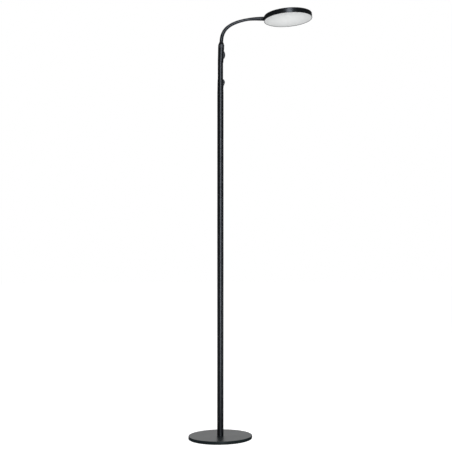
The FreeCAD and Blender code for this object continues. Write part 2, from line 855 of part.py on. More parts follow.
def head_stem():
    """Rigid flared stem between the last neck ball and the head."""
    length = sum(stem_lengths)
    reach = length + head_top_round
    rings = []
    for step in range(stem_stations + 1):
        distance = sleeve_foot_trim + (reach - sleeve_foot_trim) * step / stem_stations
        point, angle = stem_point(distance)
        ring = Part.Circle(point, direction_of(angle), stem_radius(distance))
        rings.append(Part.Wire(ring.toShape()))
    body = Part.makeLoft(rings, True)
    body = body.cut(Part.makeSphere(neck_tip_radius + ball_gap, bend_centres()[-1]))
    body = body.cut(in_head(head_blank(fit_gap)))
    end_direction = direction_of(head_tilt)
    start = stem_end() - end_direction * stem_spigot_length
    reach_in = (stem_spigot_length + head_wall + seat_gap + stem_nut_height
                + stem_spigot_past_nut)
    spigot = Part.makeCylinder(stem_spigot_radius, reach_in, start, end_direction)
    body = tidy(body.fuse(spigot))
    for arc in stem_arcs():
        body = body.cut(arc_rod(*arc, head_lead_radius + ball_gap))
    way_out = Part.makeCylinder(head_lead_radius + ball_gap, reach_in + cut_over, stem_end(),
                                end_direction)
    return body.cut(way_out)


def stem_nut():
    """Nut that clamps the stem inside the head."""
    out = -head_bore + seat_gap
    start = Vector(out, 0, head_stem_height)
    nut = hex_prism(stem_nut_across_flats, stem_nut_height, start, TOWARDS_HEAD, UP)
    hole = cross_rod(stem_spigot_radius + fit_gap, out - cut_over,
                     out + stem_nut_height + cut_over, TOWARDS_HEAD, z=head_stem_height)
    return in_head(nut.cut(hole))


# ---- Lamp head --------------------------------------------------------------------------------------
def head_frame():
    """Placement of the head: its rim is at the stem's end and its far side is raised."""
    spin = FreeCAD.Rotation(SIDEWAYS, -head_tilt)
    return FreeCAD.Placement(stem_end() + spin.multVec(Vector(head_radius, 0, -head_stem_height)), spin)


def in_head(shape):
    """Move a shape from the head's own frame into the lamp."""
    moved = shape.copy()
    moved.transformShape(head_frame().toMatrix())
    return moved


def screw_spots():
    """Places of the head's screws, in the head's frame."""
    spots = []
    for step in range(head_screw_count):
        angle = math.radians(360 * (step + 0.5) / head_screw_count)
        spots.append(Vector(head_screw_circle * math.cos(angle), head_screw_circle * math.sin(angle), 0))
    return spots


def head_blank(gap):
    """Outer form of the head as one block, larger all round by a gap."""
    top = head_height + gap
    blank = rod(head_radius + gap, 0, top)
    return blank.makeFillet(head_top_round + gap, edges_at(blank, top, head_radius + gap))


def head_housing():
    """Shallow metal dish: the head's top, rim and screw bosses."""
    roof = head_height - head_top_thickness
    dish = head_blank(0)
    dish = dish.makeFillet(head_lip_round, edges_at(dish, 0, head_radius))
    hollow = rod(head_bore, -cut_over, roof)
    dish = dish.cut(hollow.makeFillet(head_top_round - head_wall, edges_at(hollow, roof, head_bore)))
    for spot in screw_spots():
        boss = Part.makeCylinder(boss_radius, boss_height + cut_over, spot + UP * spreader_top)
        hole = Part.makeCylinder(head_screw_radius + fit_gap, boss_height, spot + UP * spreader_top)
        dish = dish.fuse(boss).cut(hole)
    port = cross_rod(stem_spigot_radius + fit_gap, -head_radius - cut_over,
                     -head_radius + 2 * head_wall, TOWARDS_HEAD, z=head_stem_height)
    return in_head(tidy(dish.cut(port)))


def board_notch(low, high):
    """Cut in the edge of the light board where the lead comes in."""
    half = board_notch_width / 2
    return block((-head_radius, -led_board_radius + board_notch_depth), (-half, half), (low, high))


def screw_holes(radius, low, high):
    """Holes for the head's screws through a layer between two heights."""
    bars = [Part.makeCylinder(radius, high - low, spot + UP * low) for spot in screw_spots()]
    return bars[0].multiFuse(bars[1:])


def heat_spreader():
    """Aluminium disc that the light board is screwed against."""
    disc = rod(spreader_radius, spreader_bottom, spreader_top)
    return in_head(disc.cut(screw_holes(head_screw_radius + fit_gap, spreader_bottom - cut_over,
                                        spreader_top + cut_over)))


def led_board():
    """Round circuit board of the light source."""
    disc = rod(led_board_radius, led_board_bottom, spreader_bottom)
    disc = disc.cut(screw_holes(head_screw_radius + fit_gap, led_board_bottom - cut_over,
                                spreader_bottom + cut_over))
    notch = board_notch(led_board_bottom - cut_over, spreader_bottom + cut_over)
    return in_head(disc.cut(notch))


def led_chips():
    """Light-emitting chips in rings on the underside of the board."""
    chips = []
    half = led_size / 2
    low = led_board_bottom - led_height
    for radius, count in zip(led_ring_radii, led_ring_counts):
        for step in range(count):
            chip = block((radius - half, radius + half), (-half, half), (low, led_board_bottom))
            chip.rotate(ORIGIN, UP, 360 * (step + 0.5) / count)
            chips.append(in_head(chip))
    return Part.makeCompound(chips)


def head_screws():
    """Screws that hold the board and the spreader to the head's bosses."""
    screws = []
    for spot in screw_spots():
        base = spot + UP * (led_board_bottom - head_screw_head_height)
        head = Part.makeCylinder(head_screw_head_radius, head_screw_head_height, base)
        shank_length = head_screw_head_height + spreader_top - led_board_bottom + boss_height - seat_gap
        shank = Part.makeCylinder(head_screw_radius, shank_length, base)
        screws.append(in_head(tidy(head.fuse(shank))))
    return Part.makeCompound(screws)


def reflector_frame():
    """White ring with a ledge for the diffuser and a wall around the light board."""
    outer = diffuser_radius
    ledge_inner = outer - frame_ledge_width
    wall_inner = ledge_inner - reflector_wall
    return in_head(turned([
        (wall_inner, diffuser_top),
        (outer, diffuser_top),
        (outer, diffuser_top + frame_ledge_thickness),
        (ledge_inner, diffuser_top + frame_ledge_thickness),
        (ledge_inner, diffuser_top + reflector_height),
        (wall_inner, diffuser_top + reflector_height),
    ]))


def diffuser():
    """Opal disc in the mouth of the head, set back behind the rim."""
    return in_head(rod(diffuser_radius, diffuser_recess, diffuser_top))


def head_lead():
    """Lead from the stem's spigot to the notch of the light board."""
    start = -head_bore
    end = -led_board_radius + board_notch_depth - seat_gap
    return in_head(cross_rod(head_lead_radius, start, end, TOWARDS_HEAD, z=head_stem_height))


# ---- All pieces -----------------------------------------------------------------------------------------
def all_pieces():
    """Every node's name and shape."""
    makers = [
        base_plate, base_pad, base_stud, foot_insert, lower_pole, power_jack, jack_pin,
        joint_insert, joint_stud, upper_pole, height_collar, release_lever, lever_pin,
        lever_spring, brake_shoe, inner_tube, tube_glide, lower_lead, coil_lead, upper_lead,
        switch_housing, dimmer_button, switch_board, push_switch, switch_plunger,
        neck_ring, neck_cone, neck_root, neck_nut, head_stem, stem_nut, head_housing,
        heat_spreader, led_board, led_chips, head_screws, reflector_frame, diffuser, head_lead,
    ]
    pieces = {maker.__name__: maker() for maker in makers}
    for index in range(neck_count):
        pieces["neck_core_%d" % (index + 1)] = neck_core(index)
        pieces["neck_sleeve_%d" % (index + 1)] = neck_sleeve(index)
    return pieces


os.makedirs("parts", exist_ok=True)
for name, shape in all_pieces().items():
    shape.exportStep("parts/%s.step" % name)
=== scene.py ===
"""Looks of the gooseneck reading floor lamp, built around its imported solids.

The origin is on the floor under the pole, +Z is up and +X points the way that
the lamp head reaches. Lengths are in metres, and MM turns a size in millimetres
into one. Sizes come from the frame wherever a solid there has them.
"""
import json
import logging
import math
from dataclasses import dataclass
from enum import Enum
from functools import lru_cache
from typing import Any, Sequence

import bmesh
import bpy
from mathutils import Matrix, Vector
from mathutils.geometry import interpolate_bezier


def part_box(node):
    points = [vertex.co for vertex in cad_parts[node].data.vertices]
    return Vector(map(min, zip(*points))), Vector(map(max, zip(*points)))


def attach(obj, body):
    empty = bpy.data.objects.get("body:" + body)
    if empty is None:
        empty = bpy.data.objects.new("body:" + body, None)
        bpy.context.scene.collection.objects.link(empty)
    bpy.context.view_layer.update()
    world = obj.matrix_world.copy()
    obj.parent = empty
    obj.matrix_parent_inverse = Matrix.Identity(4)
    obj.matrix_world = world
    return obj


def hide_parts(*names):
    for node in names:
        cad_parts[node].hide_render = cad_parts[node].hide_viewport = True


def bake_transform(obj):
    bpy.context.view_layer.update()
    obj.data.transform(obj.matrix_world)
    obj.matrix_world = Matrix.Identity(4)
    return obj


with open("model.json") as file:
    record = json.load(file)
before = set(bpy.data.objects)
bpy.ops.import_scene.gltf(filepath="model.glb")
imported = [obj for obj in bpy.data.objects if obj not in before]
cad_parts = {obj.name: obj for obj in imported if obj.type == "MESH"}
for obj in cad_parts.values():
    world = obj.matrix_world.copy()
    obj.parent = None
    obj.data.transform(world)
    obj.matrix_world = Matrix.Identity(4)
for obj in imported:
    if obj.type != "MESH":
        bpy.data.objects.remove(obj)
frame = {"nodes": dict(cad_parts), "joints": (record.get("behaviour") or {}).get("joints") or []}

log = logging.getLogger("floor_lamp")

MM = 0.001
FULL_TURN = 2 * math.pi
HALF_TURN = math.pi
QUARTER_TURN = math.pi / 2
ON_AXIS = 1e-7                    # a radius below this is a pole of a turned piece
SHARP_ANGLE = math.radians(32)    # edges that turn more than this stay crisp
NO_LENGTH = 1e-7                  # points closer than this are one point
NO_TURN = 1e-4                    # a corner that turns less than this is straight
ARC_ROOM = 0.46                   # most of an edge that the rounding at one end takes
HOLD_SHARE = 0.25                 # distance of a close point, as a share of the arc's reach
BEVEL_SEGMENTS = 3                # facets across a softened edge
ARC_STEP = math.radians(11)       # turn of one facet of a rounded corner

Point2 = tuple[float, float]
Colour = tuple[float, float, float]
Box = tuple[Vector, Vector]


class Body(str, Enum):
    """Moving groups of the lamp, as the frame names them."""

    STAND = "stand"
    LEVER = "release_lever"
    MAST = "mast"
    BUTTON = "dimmer_button"
    HEAD = "lamp_head"


class Carving(str, Enum):
    """Ways in which one solid works on another."""

    JOIN = "UNION"
    CUT = "DIFFERENCE"


# ---- Node trees -----------------------------------------------------------------


class Field:
    """A node socket that turns Python arithmetic into Math nodes."""

    def __init__(self, tree: "NodeTree", socket: bpy.types.NodeSocket) -> None:
        """Wrap one output socket of a tree."""
        self.tree = tree
        self.socket = socket

    def maths(self, operation: str, *values: "Field | float") -> "Field":
        """Result of one Math node.

        Args:
            operation: The node's operation.
            values: Its operands, in order.

        Returns:
            The node's output.
        """
        return self.tree.node("ShaderNodeMath", {"operation": operation}, dict(enumerate(values)))

    def __add__(self, other: "Field | float") -> "Field":
        """Sum of two values."""
        return self.maths("ADD", self, other)

    def __mul__(self, other: "Field | float") -> "Field":
        """Product of two values."""
        return self.maths("MULTIPLY", self, other)

    def __sub__(self, other: "Field | float") -> "Field":
        """Difference of two values."""
        return self.maths("SUBTRACT", self, other)

    def __rsub__(self, other: float) -> "Field":
        """Difference with the number first."""
        return self.maths("SUBTRACT", other, self)

    def __truediv__(self, other: "Field | float") -> "Field":
        """Quotient of two values."""
        return self.maths("DIVIDE", self, other)

    def __pow__(self, other: float) -> "Field":
        """Power of a value."""
        return self.maths("POWER", self, other)

    __radd__ = __add__
    __rmul__ = __mul__

    def cosine(self) -> "Field":
        """Cosine of a value in radians."""
        return self.maths("COSINE", self)


class NodeTree:
    """A node tree whose nodes all come from one method."""

    def __init__(self, tree: bpy.types.NodeTree) -> None:
        """Take an existing tree and empty it."""
        self.tree = tree
        self.tree.nodes.clear()

    def node(self, kind: str, settings: dict[str, Any] | None = None,
             inputs: dict[int | str, Any] | None = None, output: int | str = 0) -> Field:
        """Add a node, set it up and feed it.

        Args:
            kind: The node's type.
            settings: Its own settings; "stops" are a colour ramp's (position, colour) pairs.
            inputs: Values or links of its sockets, by name or number.
            output: The socket that is returned.

        Returns:
            The chosen output.
        """
        made = self.tree.nodes.new(kind)
        for name, value in (settings or {}).items():
            if name == "stops":
                self._set_stops(made.color_ramp, value)
            else:
                setattr(made, name, value)
        for key, value in (inputs or {}).items():
            if isinstance(value, Field):
                self.tree.links.new(value.socket, made.inputs[key])
            else:
                made.inputs[key].default_value = value
        return Field(self, made.outputs[output] if made.outputs else None)

    @staticmethod
    def _set_stops(ramp: bpy.types.ColorRamp, stops: Sequence[tuple[float, Colour]]) -> None:
        """Give a colour ramp its stops.

        Args:
            ramp: The ramp.
            stops: Its (position, colour) pairs.
        """
        while len(ramp.elements) < len(stops):
            ramp.elements.new(1.0)
        for element, (position, colour) in zip(ramp.elements, stops):
            element.position = position
            element.color = (*colour, 1.0)


class ShaderTree(NodeTree):
    """Node tree of a material or of the world."""

    def __init__(self, owner: bpy.types.Material | bpy.types.World) -> None:
        """Start an empty tree for its owner."""
        owner.use_nodes = True
        super().__init__(owner.node_tree)

    def place(self, centre: Vector = Vector(), tilt: float = 0.0) -> Field:
        """Object coordinates, measured from a point and turned about Y.

        Args:
            centre: Point that becomes the pattern's origin.
            tilt: Angle by which the piece leans.

        Returns:
            The coordinates.
        """
        raw = self.node("ShaderNodeTexCoord", output="Object")
        moved = self.node("ShaderNodeVectorMath", {"operation": "SUBTRACT"},
                          {0: raw, 1: tuple(centre)})
        return self.node("ShaderNodeMapping", None,
                         {"Vector": moved, "Rotation": (0.0, -tilt, 0.0)})

    def noise(self, size: float, where: Field, detail: float = 2.0, stretch: float = 1.0) -> Field:
        """Noise from 0 to 1.

        Args:
            size: Size of its cells in metres.
            where: Coordinates that it is drawn on.
            detail: Octaves of finer noise.
            stretch: How many times longer than wide a cell is, along Z.

        Returns:
            The noise value.
        """
        squeezed = self.node("ShaderNodeVectorMath", {"operation": "MULTIPLY"},
                             {0: where, 1: (1.0, 1.0, 1.0 / stretch)})
        return self.node("ShaderNodeTexNoise", {"noise_dimensions": "3D"},
                         {"Vector": squeezed, "Scale": 1.0 / size, "Detail": detail})

    def mix(self, share: Field | float, first: Colour | Field, second: Colour | Field) -> Field:
        """Mix of two colours.

        Args:
            share: Share of the second colour, from 0 to 1.
            first: One colour.
            second: The other colour.

        Returns:
            The mixed colour.
        """
        ends = [value if isinstance(value, Field) else (*value, 1.0) for value in (first, second)]
        return self.node("ShaderNodeMix", {"data_type": "RGBA"},
                         {0: share, 6: ends[0], 7: ends[1]}, output=2)

    def ray(self, kind: str) -> Field:
        """1 on rays of a kind, such as Camera or Glossy, and 0 on others."""
        return self.node("ShaderNodeLightPath", output=f"Is {kind} Ray")

    def smooth_step(self, value: Field, start: float, end: float) -> Field:
        """0 below a start, 1 above an end and smooth between them."""
        return self.node("ShaderNodeMapRange", {"interpolation_type": "SMOOTHSTEP"},
                         {"Value": value, "From Min": start, "From Max": end})

    def bump(self, height: Field, depth: float) -> Field:
        """Normal of a relief.

        Args:
            height: Relief from 0 to 1.
            depth: Its full depth in metres.

        Returns:
            The bent normal.
        """
        return self.node("ShaderNodeBump", None, {"Height": height, "Distance": depth})

    def surface(self, inputs: dict[str, Any]) -> None:
        """Finish the tree with one Principled surface."""
        shader = self.node("ShaderNodeBsdfPrincipled", None, inputs)
        self.node("ShaderNodeOutputMaterial", None, {"Surface": shader})


# ---- Finishes -------------------------------------------------------------------


@dataclass(frozen=True)
class Finish:
    """A surface finish and the record's slot that it belongs to."""

    slot: str
    colour: Colour
    roughness: float
    gloss: float = 0.5
    gloss_tint: Colour = (1.0, 1.0, 1.0)

    def dress(self, shader: ShaderTree) -> None:
        """Fill a material's tree with this finish."""
        raise NotImplementedError

    def tones(self, shader: ShaderTree, share: Field, spread: float) -> Field:
        """The finish's colour, made a little darker and lighter by a mask.

        Args:
            shader: Tree that the colour is mixed in.
            share: Mask from 0 to 1.
            spread: Largest change of the colour, as a share of it.

        Returns:
            The varying colour.
        """
        dark = tuple(part * (1 - spread) for part in self.colour)
        light = tuple(part * (1 + spread) for part in self.colour)
        return shader.mix(share, dark, light)

    def sheen(self, share: Field, spread: float) -> Field:
        """The finish's roughness, made a little finer and coarser by a mask."""
        return self.roughness - spread + share * (2 * spread)

    def cover(self, shader: ShaderTree, varying: dict[str, Any]) -> None:
        """Finish a tree with this finish's gloss and what varies over it."""
        shader.surface({"Specular IOR Level": self.gloss,
                        "Specular Tint": (*self.gloss_tint, 1.0), **varying})


@dataclass(frozen=True)
class PowderCoat(Finish):
    """Satin powder coat: fine orange peel over a slightly uneven sheen."""

    peel_size: float = 0.9 * MM
    peel_depth: float = 0.008 * MM
    cloud_size: float = 60 * MM
    tone_spread: float = 0.22
    sheen_spread: float = 0.03

    def dress(self, shader: ShaderTree) -> None:
        """Fill a material's tree with the coat.

        Args:
            shader: Tree that is filled.
        """
        where = shader.place()
        peel = shader.noise(self.peel_size, where)
        clouds = shader.noise(self.cloud_size, where, detail=3.0)
        self.cover(shader, {
            "Base Color": self.tones(shader, peel * 0.5 + clouds * 0.5, self.tone_spread),
            "Roughness": self.sheen(clouds, self.sheen_spread),
            "Normal": shader.bump(peel, self.peel_depth),
        })


@dataclass(frozen=True)
class MouldedPlastic(Finish):
    """Moulded plastic with the fine grain of its mould."""

    grain_size: float = 0.35 * MM
    grain_depth: float = 0.006 * MM
    flow_size: float = 14 * MM
    tone_spread: float = 0.15
    sheen_spread: float = 0.04

    def dress(self, shader: ShaderTree) -> None:
        """Fill a material's tree with the plastic.

        Args:
            shader: Tree that is filled.
        """
        where = shader.place()
        grain = shader.noise(self.grain_size, where, detail=1.0)
        flow = shader.noise(self.flow_size, where)
        self.cover(shader, {
            "Base Color": self.tones(shader, flow, self.tone_spread),
            "Roughness": self.sheen(grain, self.sheen_spread),
            "Normal": shader.bump(grain, self.grain_depth),
        })


@dataclass(frozen=True)
class FlexibleSkin(Finish):
    """Soft rubbery skin with a faint haze of handling marks."""

    haze_size: float = 9 * MM
    pore_size: float = 0.25 * MM
    pore_depth: float = 0.004 * MM
    tone_spread: float = 0.25
    sheen_spread: float = 0.05

    def dress(self, shader: ShaderTree) -> None:
        """Fill a material's tree with the skin.

        Args:
            shader: Tree that is filled.
        """
        where = shader.place()
        haze = shader.noise(self.haze_size, where, detail=4.0)
        pores = shader.noise(self.pore_size, where, detail=1.0)
        self.cover(shader, {
            "Base Color": self.tones(shader, haze, self.tone_spread),
            "Roughness": self.sheen(haze, self.sheen_spread),
            "Normal": shader.bump(pores, self.pore_depth),
        })


@dataclass(frozen=True, kw_only=True)
class OpalAcrylic(Finish):
    """Satin opal disc with painted shade that darkens its colour towards its edge."""

    # darker colour painted at the rim as shade
    painted_shade_colour: Colour
    radius: float
    centre: tuple[float, float, float]
    tilt: float
    edge_power: float = 1.9
    frost_size: float = 0.3 * MM
    frost_depth: float = 0.003 * MM
    sheen_spread: float = 0.03

    def dress(self, shader: ShaderTree) -> None:
        """Fill a material's tree with the acrylic.

        Args:
            shader: Tree that is filled.
        """
        where = shader.place(Vector(self.centre), self.tilt)
        flat = shader.node("ShaderNodeVectorMath", {"operation": "MULTIPLY"},
                           {0: where, 1: (1.0, 1.0, 0.0)})
        distance = shader.node("ShaderNodeVectorMath", {"operation": "LENGTH"}, {0: flat}, "Value")
        frost = shader.noise(self.frost_size, where, detail=1.0)
        # painted shade: the colour darkens from the middle of the disc towards its rim
        edge_shade = (distance / self.radius) ** self.edge_power
        self.cover(shader, {
            "Base Color": shader.mix(edge_shade, self.colour, self.painted_shade_colour),
            "Roughness": self.sheen(frost, self.sheen_spread),
            "Normal": shader.bump(frost, self.frost_depth),
        })


@dataclass(frozen=True)
class BareMetal(Finish):
    """Plated, turned or rolled metal with fine drawn lines along Z."""

    line_size: float = 0.12 * MM
    line_stretch: float = 30.0
    line_depth: float = 0.003 * MM
    stain_size: float = 14 * MM
    tone_spread: float = 0.08
    sheen_spread: float = 0.06

    def dress(self, shader: ShaderTree) -> None:
        """Fill a material's tree with the metal.

        Args:
            shader: Tree that is filled.
        """
        where = shader.place()
        lines = shader.noise(self.line_size, where, stretch=self.line_stretch)
        stains = shader.noise(self.stain_size, where, detail=3.0)
        self.cover(shader, {
            "Base Color": self.tones(shader, stains, self.tone_spread),
            "Metallic": 1.0,
            "Roughness": self.sheen(lines, self.sheen_spread),
            "Normal": shader.bump(lines, self.line_depth),
        })


@dataclass(frozen=True)
class CircuitBoard(Finish):
    """Lacquered board whose copper areas show through as paler patches."""

    patch_size: float = 5 * MM
    patch_step: float = 0.03 * MM
    gap_from: float = 0.04
    gap_to: float = 0.07
    pale_gain: float = 1.25
    pale_lift: float = 0.01

    def dress(self, shader: ShaderTree) -> None:
        """Fill a material's tree with the board.

        Args:
            shader: Tree that is filled.
        """
        where = shader.place()
        patches = shader.node(
            "ShaderNodeTexVoronoi", {"feature": "DISTANCE_TO_EDGE"},
            {"Vector": where, "Scale": 1.0 / self.patch_size}, "Distance")
        stops = (self.gap_from, (0, 0, 0)), (self.gap_to, (1, 1, 1))
        copper = shader.node("ShaderNodeValToRGB", {"stops": stops}, {"Fac": patches})
        pale = tuple(min(1.0, part * self.pale_gain + self.pale_lift) for part in self.colour)
        self.cover(shader, {
            "Base Color": shader.mix(copper, self.colour, pale),
            "Roughness": self.roughness,
            "Normal": shader.bump(copper, self.patch_step),
        })


@lru_cache(maxsize=None)
def material_of(finish: Finish) -> bpy.types.Material:
    """Material of a finish, made once.

    Args:
        finish: The finish to show.

    Returns:
        Its material, named after its slot.
    """
    material = bpy.data.materials.new(finish.slot)
    finish.dress(ShaderTree(material))
    return material


SATIN = 0.58                        # specular level of the black finishes
COOL = (0.82, 0.89, 1.0)            # their highlights lean to blue
BASE_COAT = PowderCoat("base_coat", (0.0050, 0.0080, 0.0090), 0.36, 0.31, (0.86, 0.96, 1.0))
POLE_COAT = PowderCoat("pole_coat", (0.0045, 0.0052, 0.0060), 0.33, SATIN, COOL)
HEAD_COAT = PowderCoat("head_coat", (0.0035, 0.0042, 0.0052), 0.30, 0.60, COOL)
FERRULE_COAT = PowderCoat("ferrule_coat", (0.0140, 0.0155, 0.0175), 0.48, 0.95, COOL)
CONE_COAT = PowderCoat("ferrule_coat", (0.0040, 0.0046, 0.0056), 0.34, 0.36, COOL)
COLLAR_PLASTIC = MouldedPlastic("collar_plastic", (0.0046, 0.0054, 0.0062), 0.35, SATIN, COOL)
LEVER_PLASTIC = MouldedPlastic("lever_plastic", (0.0030, 0.0036, 0.0046), 0.34, 0.40, COOL)
HOUSING_PLASTIC = MouldedPlastic("housing_plastic", (0.0046, 0.0054, 0.0062), 0.34, SATIN, COOL)
BUTTON_PLASTIC = MouldedPlastic("button_plastic", (0.0026, 0.0032, 0.0042), 0.24, 0.25, COOL)
JACK_PLASTIC = MouldedPlastic("jack_plastic", (0.008, 0.008, 0.009), 0.30)
SWITCH_PLASTIC = MouldedPlastic("switch_body", (0.02, 0.02, 0.02), 0.45)
GLIDE_PLASTIC = MouldedPlastic("glide_plastic", (0.72, 0.72, 0.67), 0.40)
REFLECTOR_PLASTIC = MouldedPlastic("reflector_white", (0.82, 0.82, 0.82), 0.45)
NECK_SKIN = FlexibleSkin("neck_sheath", (0.0045, 0.0055, 0.0065), 0.34, SATIN, COOL)
PAD_RUBBER = FlexibleSkin("pad_rubber", (0.012, 0.012, 0.013), 0.75)
SHOE_RUBBER = FlexibleSkin("shoe_rubber", (0.03, 0.03, 0.03), 0.70)
LEAD_SKIN = FlexibleSkin("lead_sheath", (0.012, 0.012, 0.012), 0.55)
PLATED_STEEL = BareMetal("plated_steel", (0.62, 0.62, 0.60), 0.32)
SPRING_STEEL = BareMetal("spring_steel", (0.50, 0.50, 0.50), 0.28)
NECK_STEEL = BareMetal("neck_steel", (0.30, 0.30, 0.30), 0.40)
CONTACT_BRASS = BareMetal("contact_brass", (0.78, 0.60, 0.28), 0.25)
BARE_ALUMINIUM = BareMetal("bare_aluminium", (0.78, 0.78, 0.79), 0.38)
GREEN_BOARD = CircuitBoard("board_green", (0.02, 0.11, 0.04), 0.35)
WHITE_BOARD = CircuitBoard("light_board_white", (0.80, 0.80, 0.78), 0.35)
PHOSPHOR = MouldedPlastic("led_phosphor", (0.80, 0.60, 0.09), 0.45)


# ---- Outlines -------------------------------------------------------------------


@dataclass(frozen=True)
class Corner:
    """A corner of an outline: two coordinates and the radius of its rounding."""

    across: float
    up: float
    rounding: float = 0.0


def rounded(corners: Sequence[Corner], closed: bool) -> list[Point2]:
    """Outline whose corners are arcs, with a close point on each side of every arc.

    The close points keep the shading of flat faces flat.

    Args:
        corners: The corners in order.
        closed: True if the last corner joins the first.

    Returns:
        The outline's points.
    """
    points: list[Point2] = []
    count = len(corners)
    for index, corner in enumerate(corners):
        here = Vector((corner.across, corner.up))
        at_end = not closed and index in (0, count - 1)
        if at_end or corner.rounding <= 0:
            points.append(tuple(here))
            continue
        before, after = corners[index - 1], corners[(index + 1) % count]
        to_before = Vector((before.across, before.up)) - here
        to_after = Vector((after.across, after.up)) - here
        room = ARC_ROOM * min(to_before.length, to_after.length)
        back, onward = to_before.normalized(), to_after.normalized()
        opening = back.angle(onward)
        turn = HALF_TURN - opening
        if turn < NO_TURN:
            points.append(tuple(here))
            continue
        reach = min(corner.rounding / math.tan(opening / 2), room)
        radius = reach * math.tan(opening / 2)
        centre = here + (back + onward).normalized() * (radius / math.sin(opening / 2))
        hold = min(HOLD_SHARE * reach, room - reach)
        if hold > NO_LENGTH:
            points.append(tuple(here + back * (reach + hold)))
        first = here + back * reach - centre
        side = math.copysign(1.0, back.x * onward.y - back.y * onward.x)
        steps = max(2, math.ceil(turn / ARC_STEP))
        for step in range(steps + 1):
            spin = Matrix.Rotation(-side * turn * step / steps, 2)
            points.append(tuple(centre + spin @ first))
        if hold > NO_LENGTH:
            points.append(tuple(here + onward * (reach + hold)))
    return points


# ---- Meshes ---------------------------------------------------------------------


def crisp(mesh: bmesh.types.BMesh) -> None:
    """Shade a mesh smooth, with crisp edges where it turns sharply.

    Args:
        mesh: The mesh that is shaded.
    """
    for face in mesh.faces:
        face.smooth = True
    for edge in mesh.edges:
        edge.smooth = len(edge.link_faces) == 2 and edge.calc_face_angle(0.0) < SHARP_ANGLE


def linked(name: str, data: bpy.types.ID) -> bpy.types.Object:
    """New object for a mesh, light or camera, linked into the scene.

    Args:
        name: Name of the object.
        data: What the object shows.

    Returns:
        The object.
    """
    made = bpy.data.objects.new(name, data)
    bpy.context.scene.collection.objects.link(made)
    return made


def applied(piece: bpy.types.Object) -> bpy.types.Mesh:
    """Mesh of a piece with its modifiers applied; they are removed from it.

    Args:
        piece: The piece that has the modifiers.

    Returns:
        The new mesh.
    """
    evaluated = piece.evaluated_get(bpy.context.evaluated_depsgraph_get())
    result = bpy.data.meshes.new_from_object(evaluated)
    piece.modifiers.clear()
    return result


def paint(piece: bpy.types.Object, finish: Finish) -> None:
    """Give a piece the material of its finish and no other."""
    piece.data.materials.clear()
    piece.data.materials.append(material_of(finish))


def publish_mesh(name: str, mesh: bmesh.types.BMesh, place: Matrix | None = None) -> bpy.types.Object:
    """Turn a working mesh into a finished object at the origin.

    Args:
        name: Name of the object.
        mesh: The working mesh, which is freed.
        place: Where the mesh goes in the lamp.

    Returns:
        The new object.
    """
    bmesh.ops.remove_doubles(mesh, verts=mesh.verts[:], dist=NO_LENGTH)
    bmesh.ops.recalc_face_normals(mesh, faces=mesh.faces[:])
    crisp(mesh)
    if place is not None:
        mesh.transform(place)
    data = bpy.data.meshes.new(name)
    mesh.to_mesh(data)
    mesh.free()
    return linked(name, data)


def bridge(mesh: bmesh.types.BMesh, first: Sequence[Any], second: Sequence[Any]) -> None:
    """Join two rings of vertices with faces; a ring of one vertex is a pole.

    Args:
        mesh: The mesh that the faces go into.
        first: Vertices of one ring.
        second: Vertices of the next ring.
    """
    count = max(len(first), len(second))
    if count == 1:
        return
    for index in range(count):
        following = (index + 1) % count
        corners = [first[index % len(first)], first[following % len(first)],
                   second[following % len(second)], second[index % len(second)]]
        distinct = list(dict.fromkeys(corners))
        mesh.faces.new(distinct)


def turned(name: str, corners: Sequence[Corner], segments: int, place: Matrix | None = None,
           closed: bool = False) -> bpy.types.Object:
    """Solid of revolution about the local Z axis.

    Args:
        name: Name of the piece.
        corners: Its outline's corners, as radius and height.
        segments: Facets around it.
        place: Where it goes in the lamp.
        closed: True if the outline is a loop, False if its ends are on the axis.

    Returns:
        The piece.
    """
    mesh = bmesh.new()
    rings = []
    for radius, height in rounded(corners, closed):
        if radius < ON_AXIS:
            rings.append([mesh.verts.new((0.0, 0.0, height))])
            continue
        angles = [FULL_TURN * step / segments for step in range(segments)]
        rings.append([mesh.verts.new((radius * math.cos(a), radius * math.sin(a), height))
                      for a in angles])
    for lower, upper in zip(rings, rings[1:] + (rings[:1] if closed else [])):
        bridge(mesh, lower, upper)
    return publish_mesh(name, mesh, place)


def disc(name: str, radius: float, span: Point2, roundings: Point2, segments: int,
         place: Matrix | None = None) -> bpy.types.Object:
    """Solid disc or pin about the local Z axis.

    Args:
        name: Name of the piece.
        radius: Its radius.
        span: Where it starts and ends along Z.
        roundings: Roundings of its lower and its upper edge.
        segments: Facets around it.
        place: Where it goes in the lamp.

    Returns:
        The piece.
    """
    rims = [Corner(radius, height, rounding) for height, rounding in zip(span, roundings)]
    return turned(name, [Corner(0.0, span[0]), *rims, Corner(0.0, span[1])], segments, place)


def extruded(name: str, corners: Sequence[Corner], middle: float, half_width: float,
             edge: float) -> bpy.types.Object:
    """Prism across Y with softened edges.

    Args:
        name: Name of the piece.
        corners: Its outline's corners, as x and z.
        middle: Y of its middle.
        half_width: Half its width along Y.
        edge: Radius of its softened edges.

    Returns:
        The piece.
    """
    mesh = bmesh.new()
    outline = rounded(corners, closed=True)
    sides = []
    for y in (middle - half_width, middle + half_width):
        sides.append([mesh.verts.new((x, y, z)) for x, z in outline])
    caps = [mesh.faces.new(sides[0]), mesh.faces.new(sides[1][::-1])]
    bridge(mesh, sides[0], sides[1])
    if edge > 0:
        rims = [rim for cap in caps for rim in cap.edges]
        bmesh.ops.bevel(mesh, geom=rims, offset=edge, segments=BEVEL_SEGMENTS, profile=0.5,
                        affect="EDGES", clamp_overlap=True)
    return publish_mesh(name, mesh)


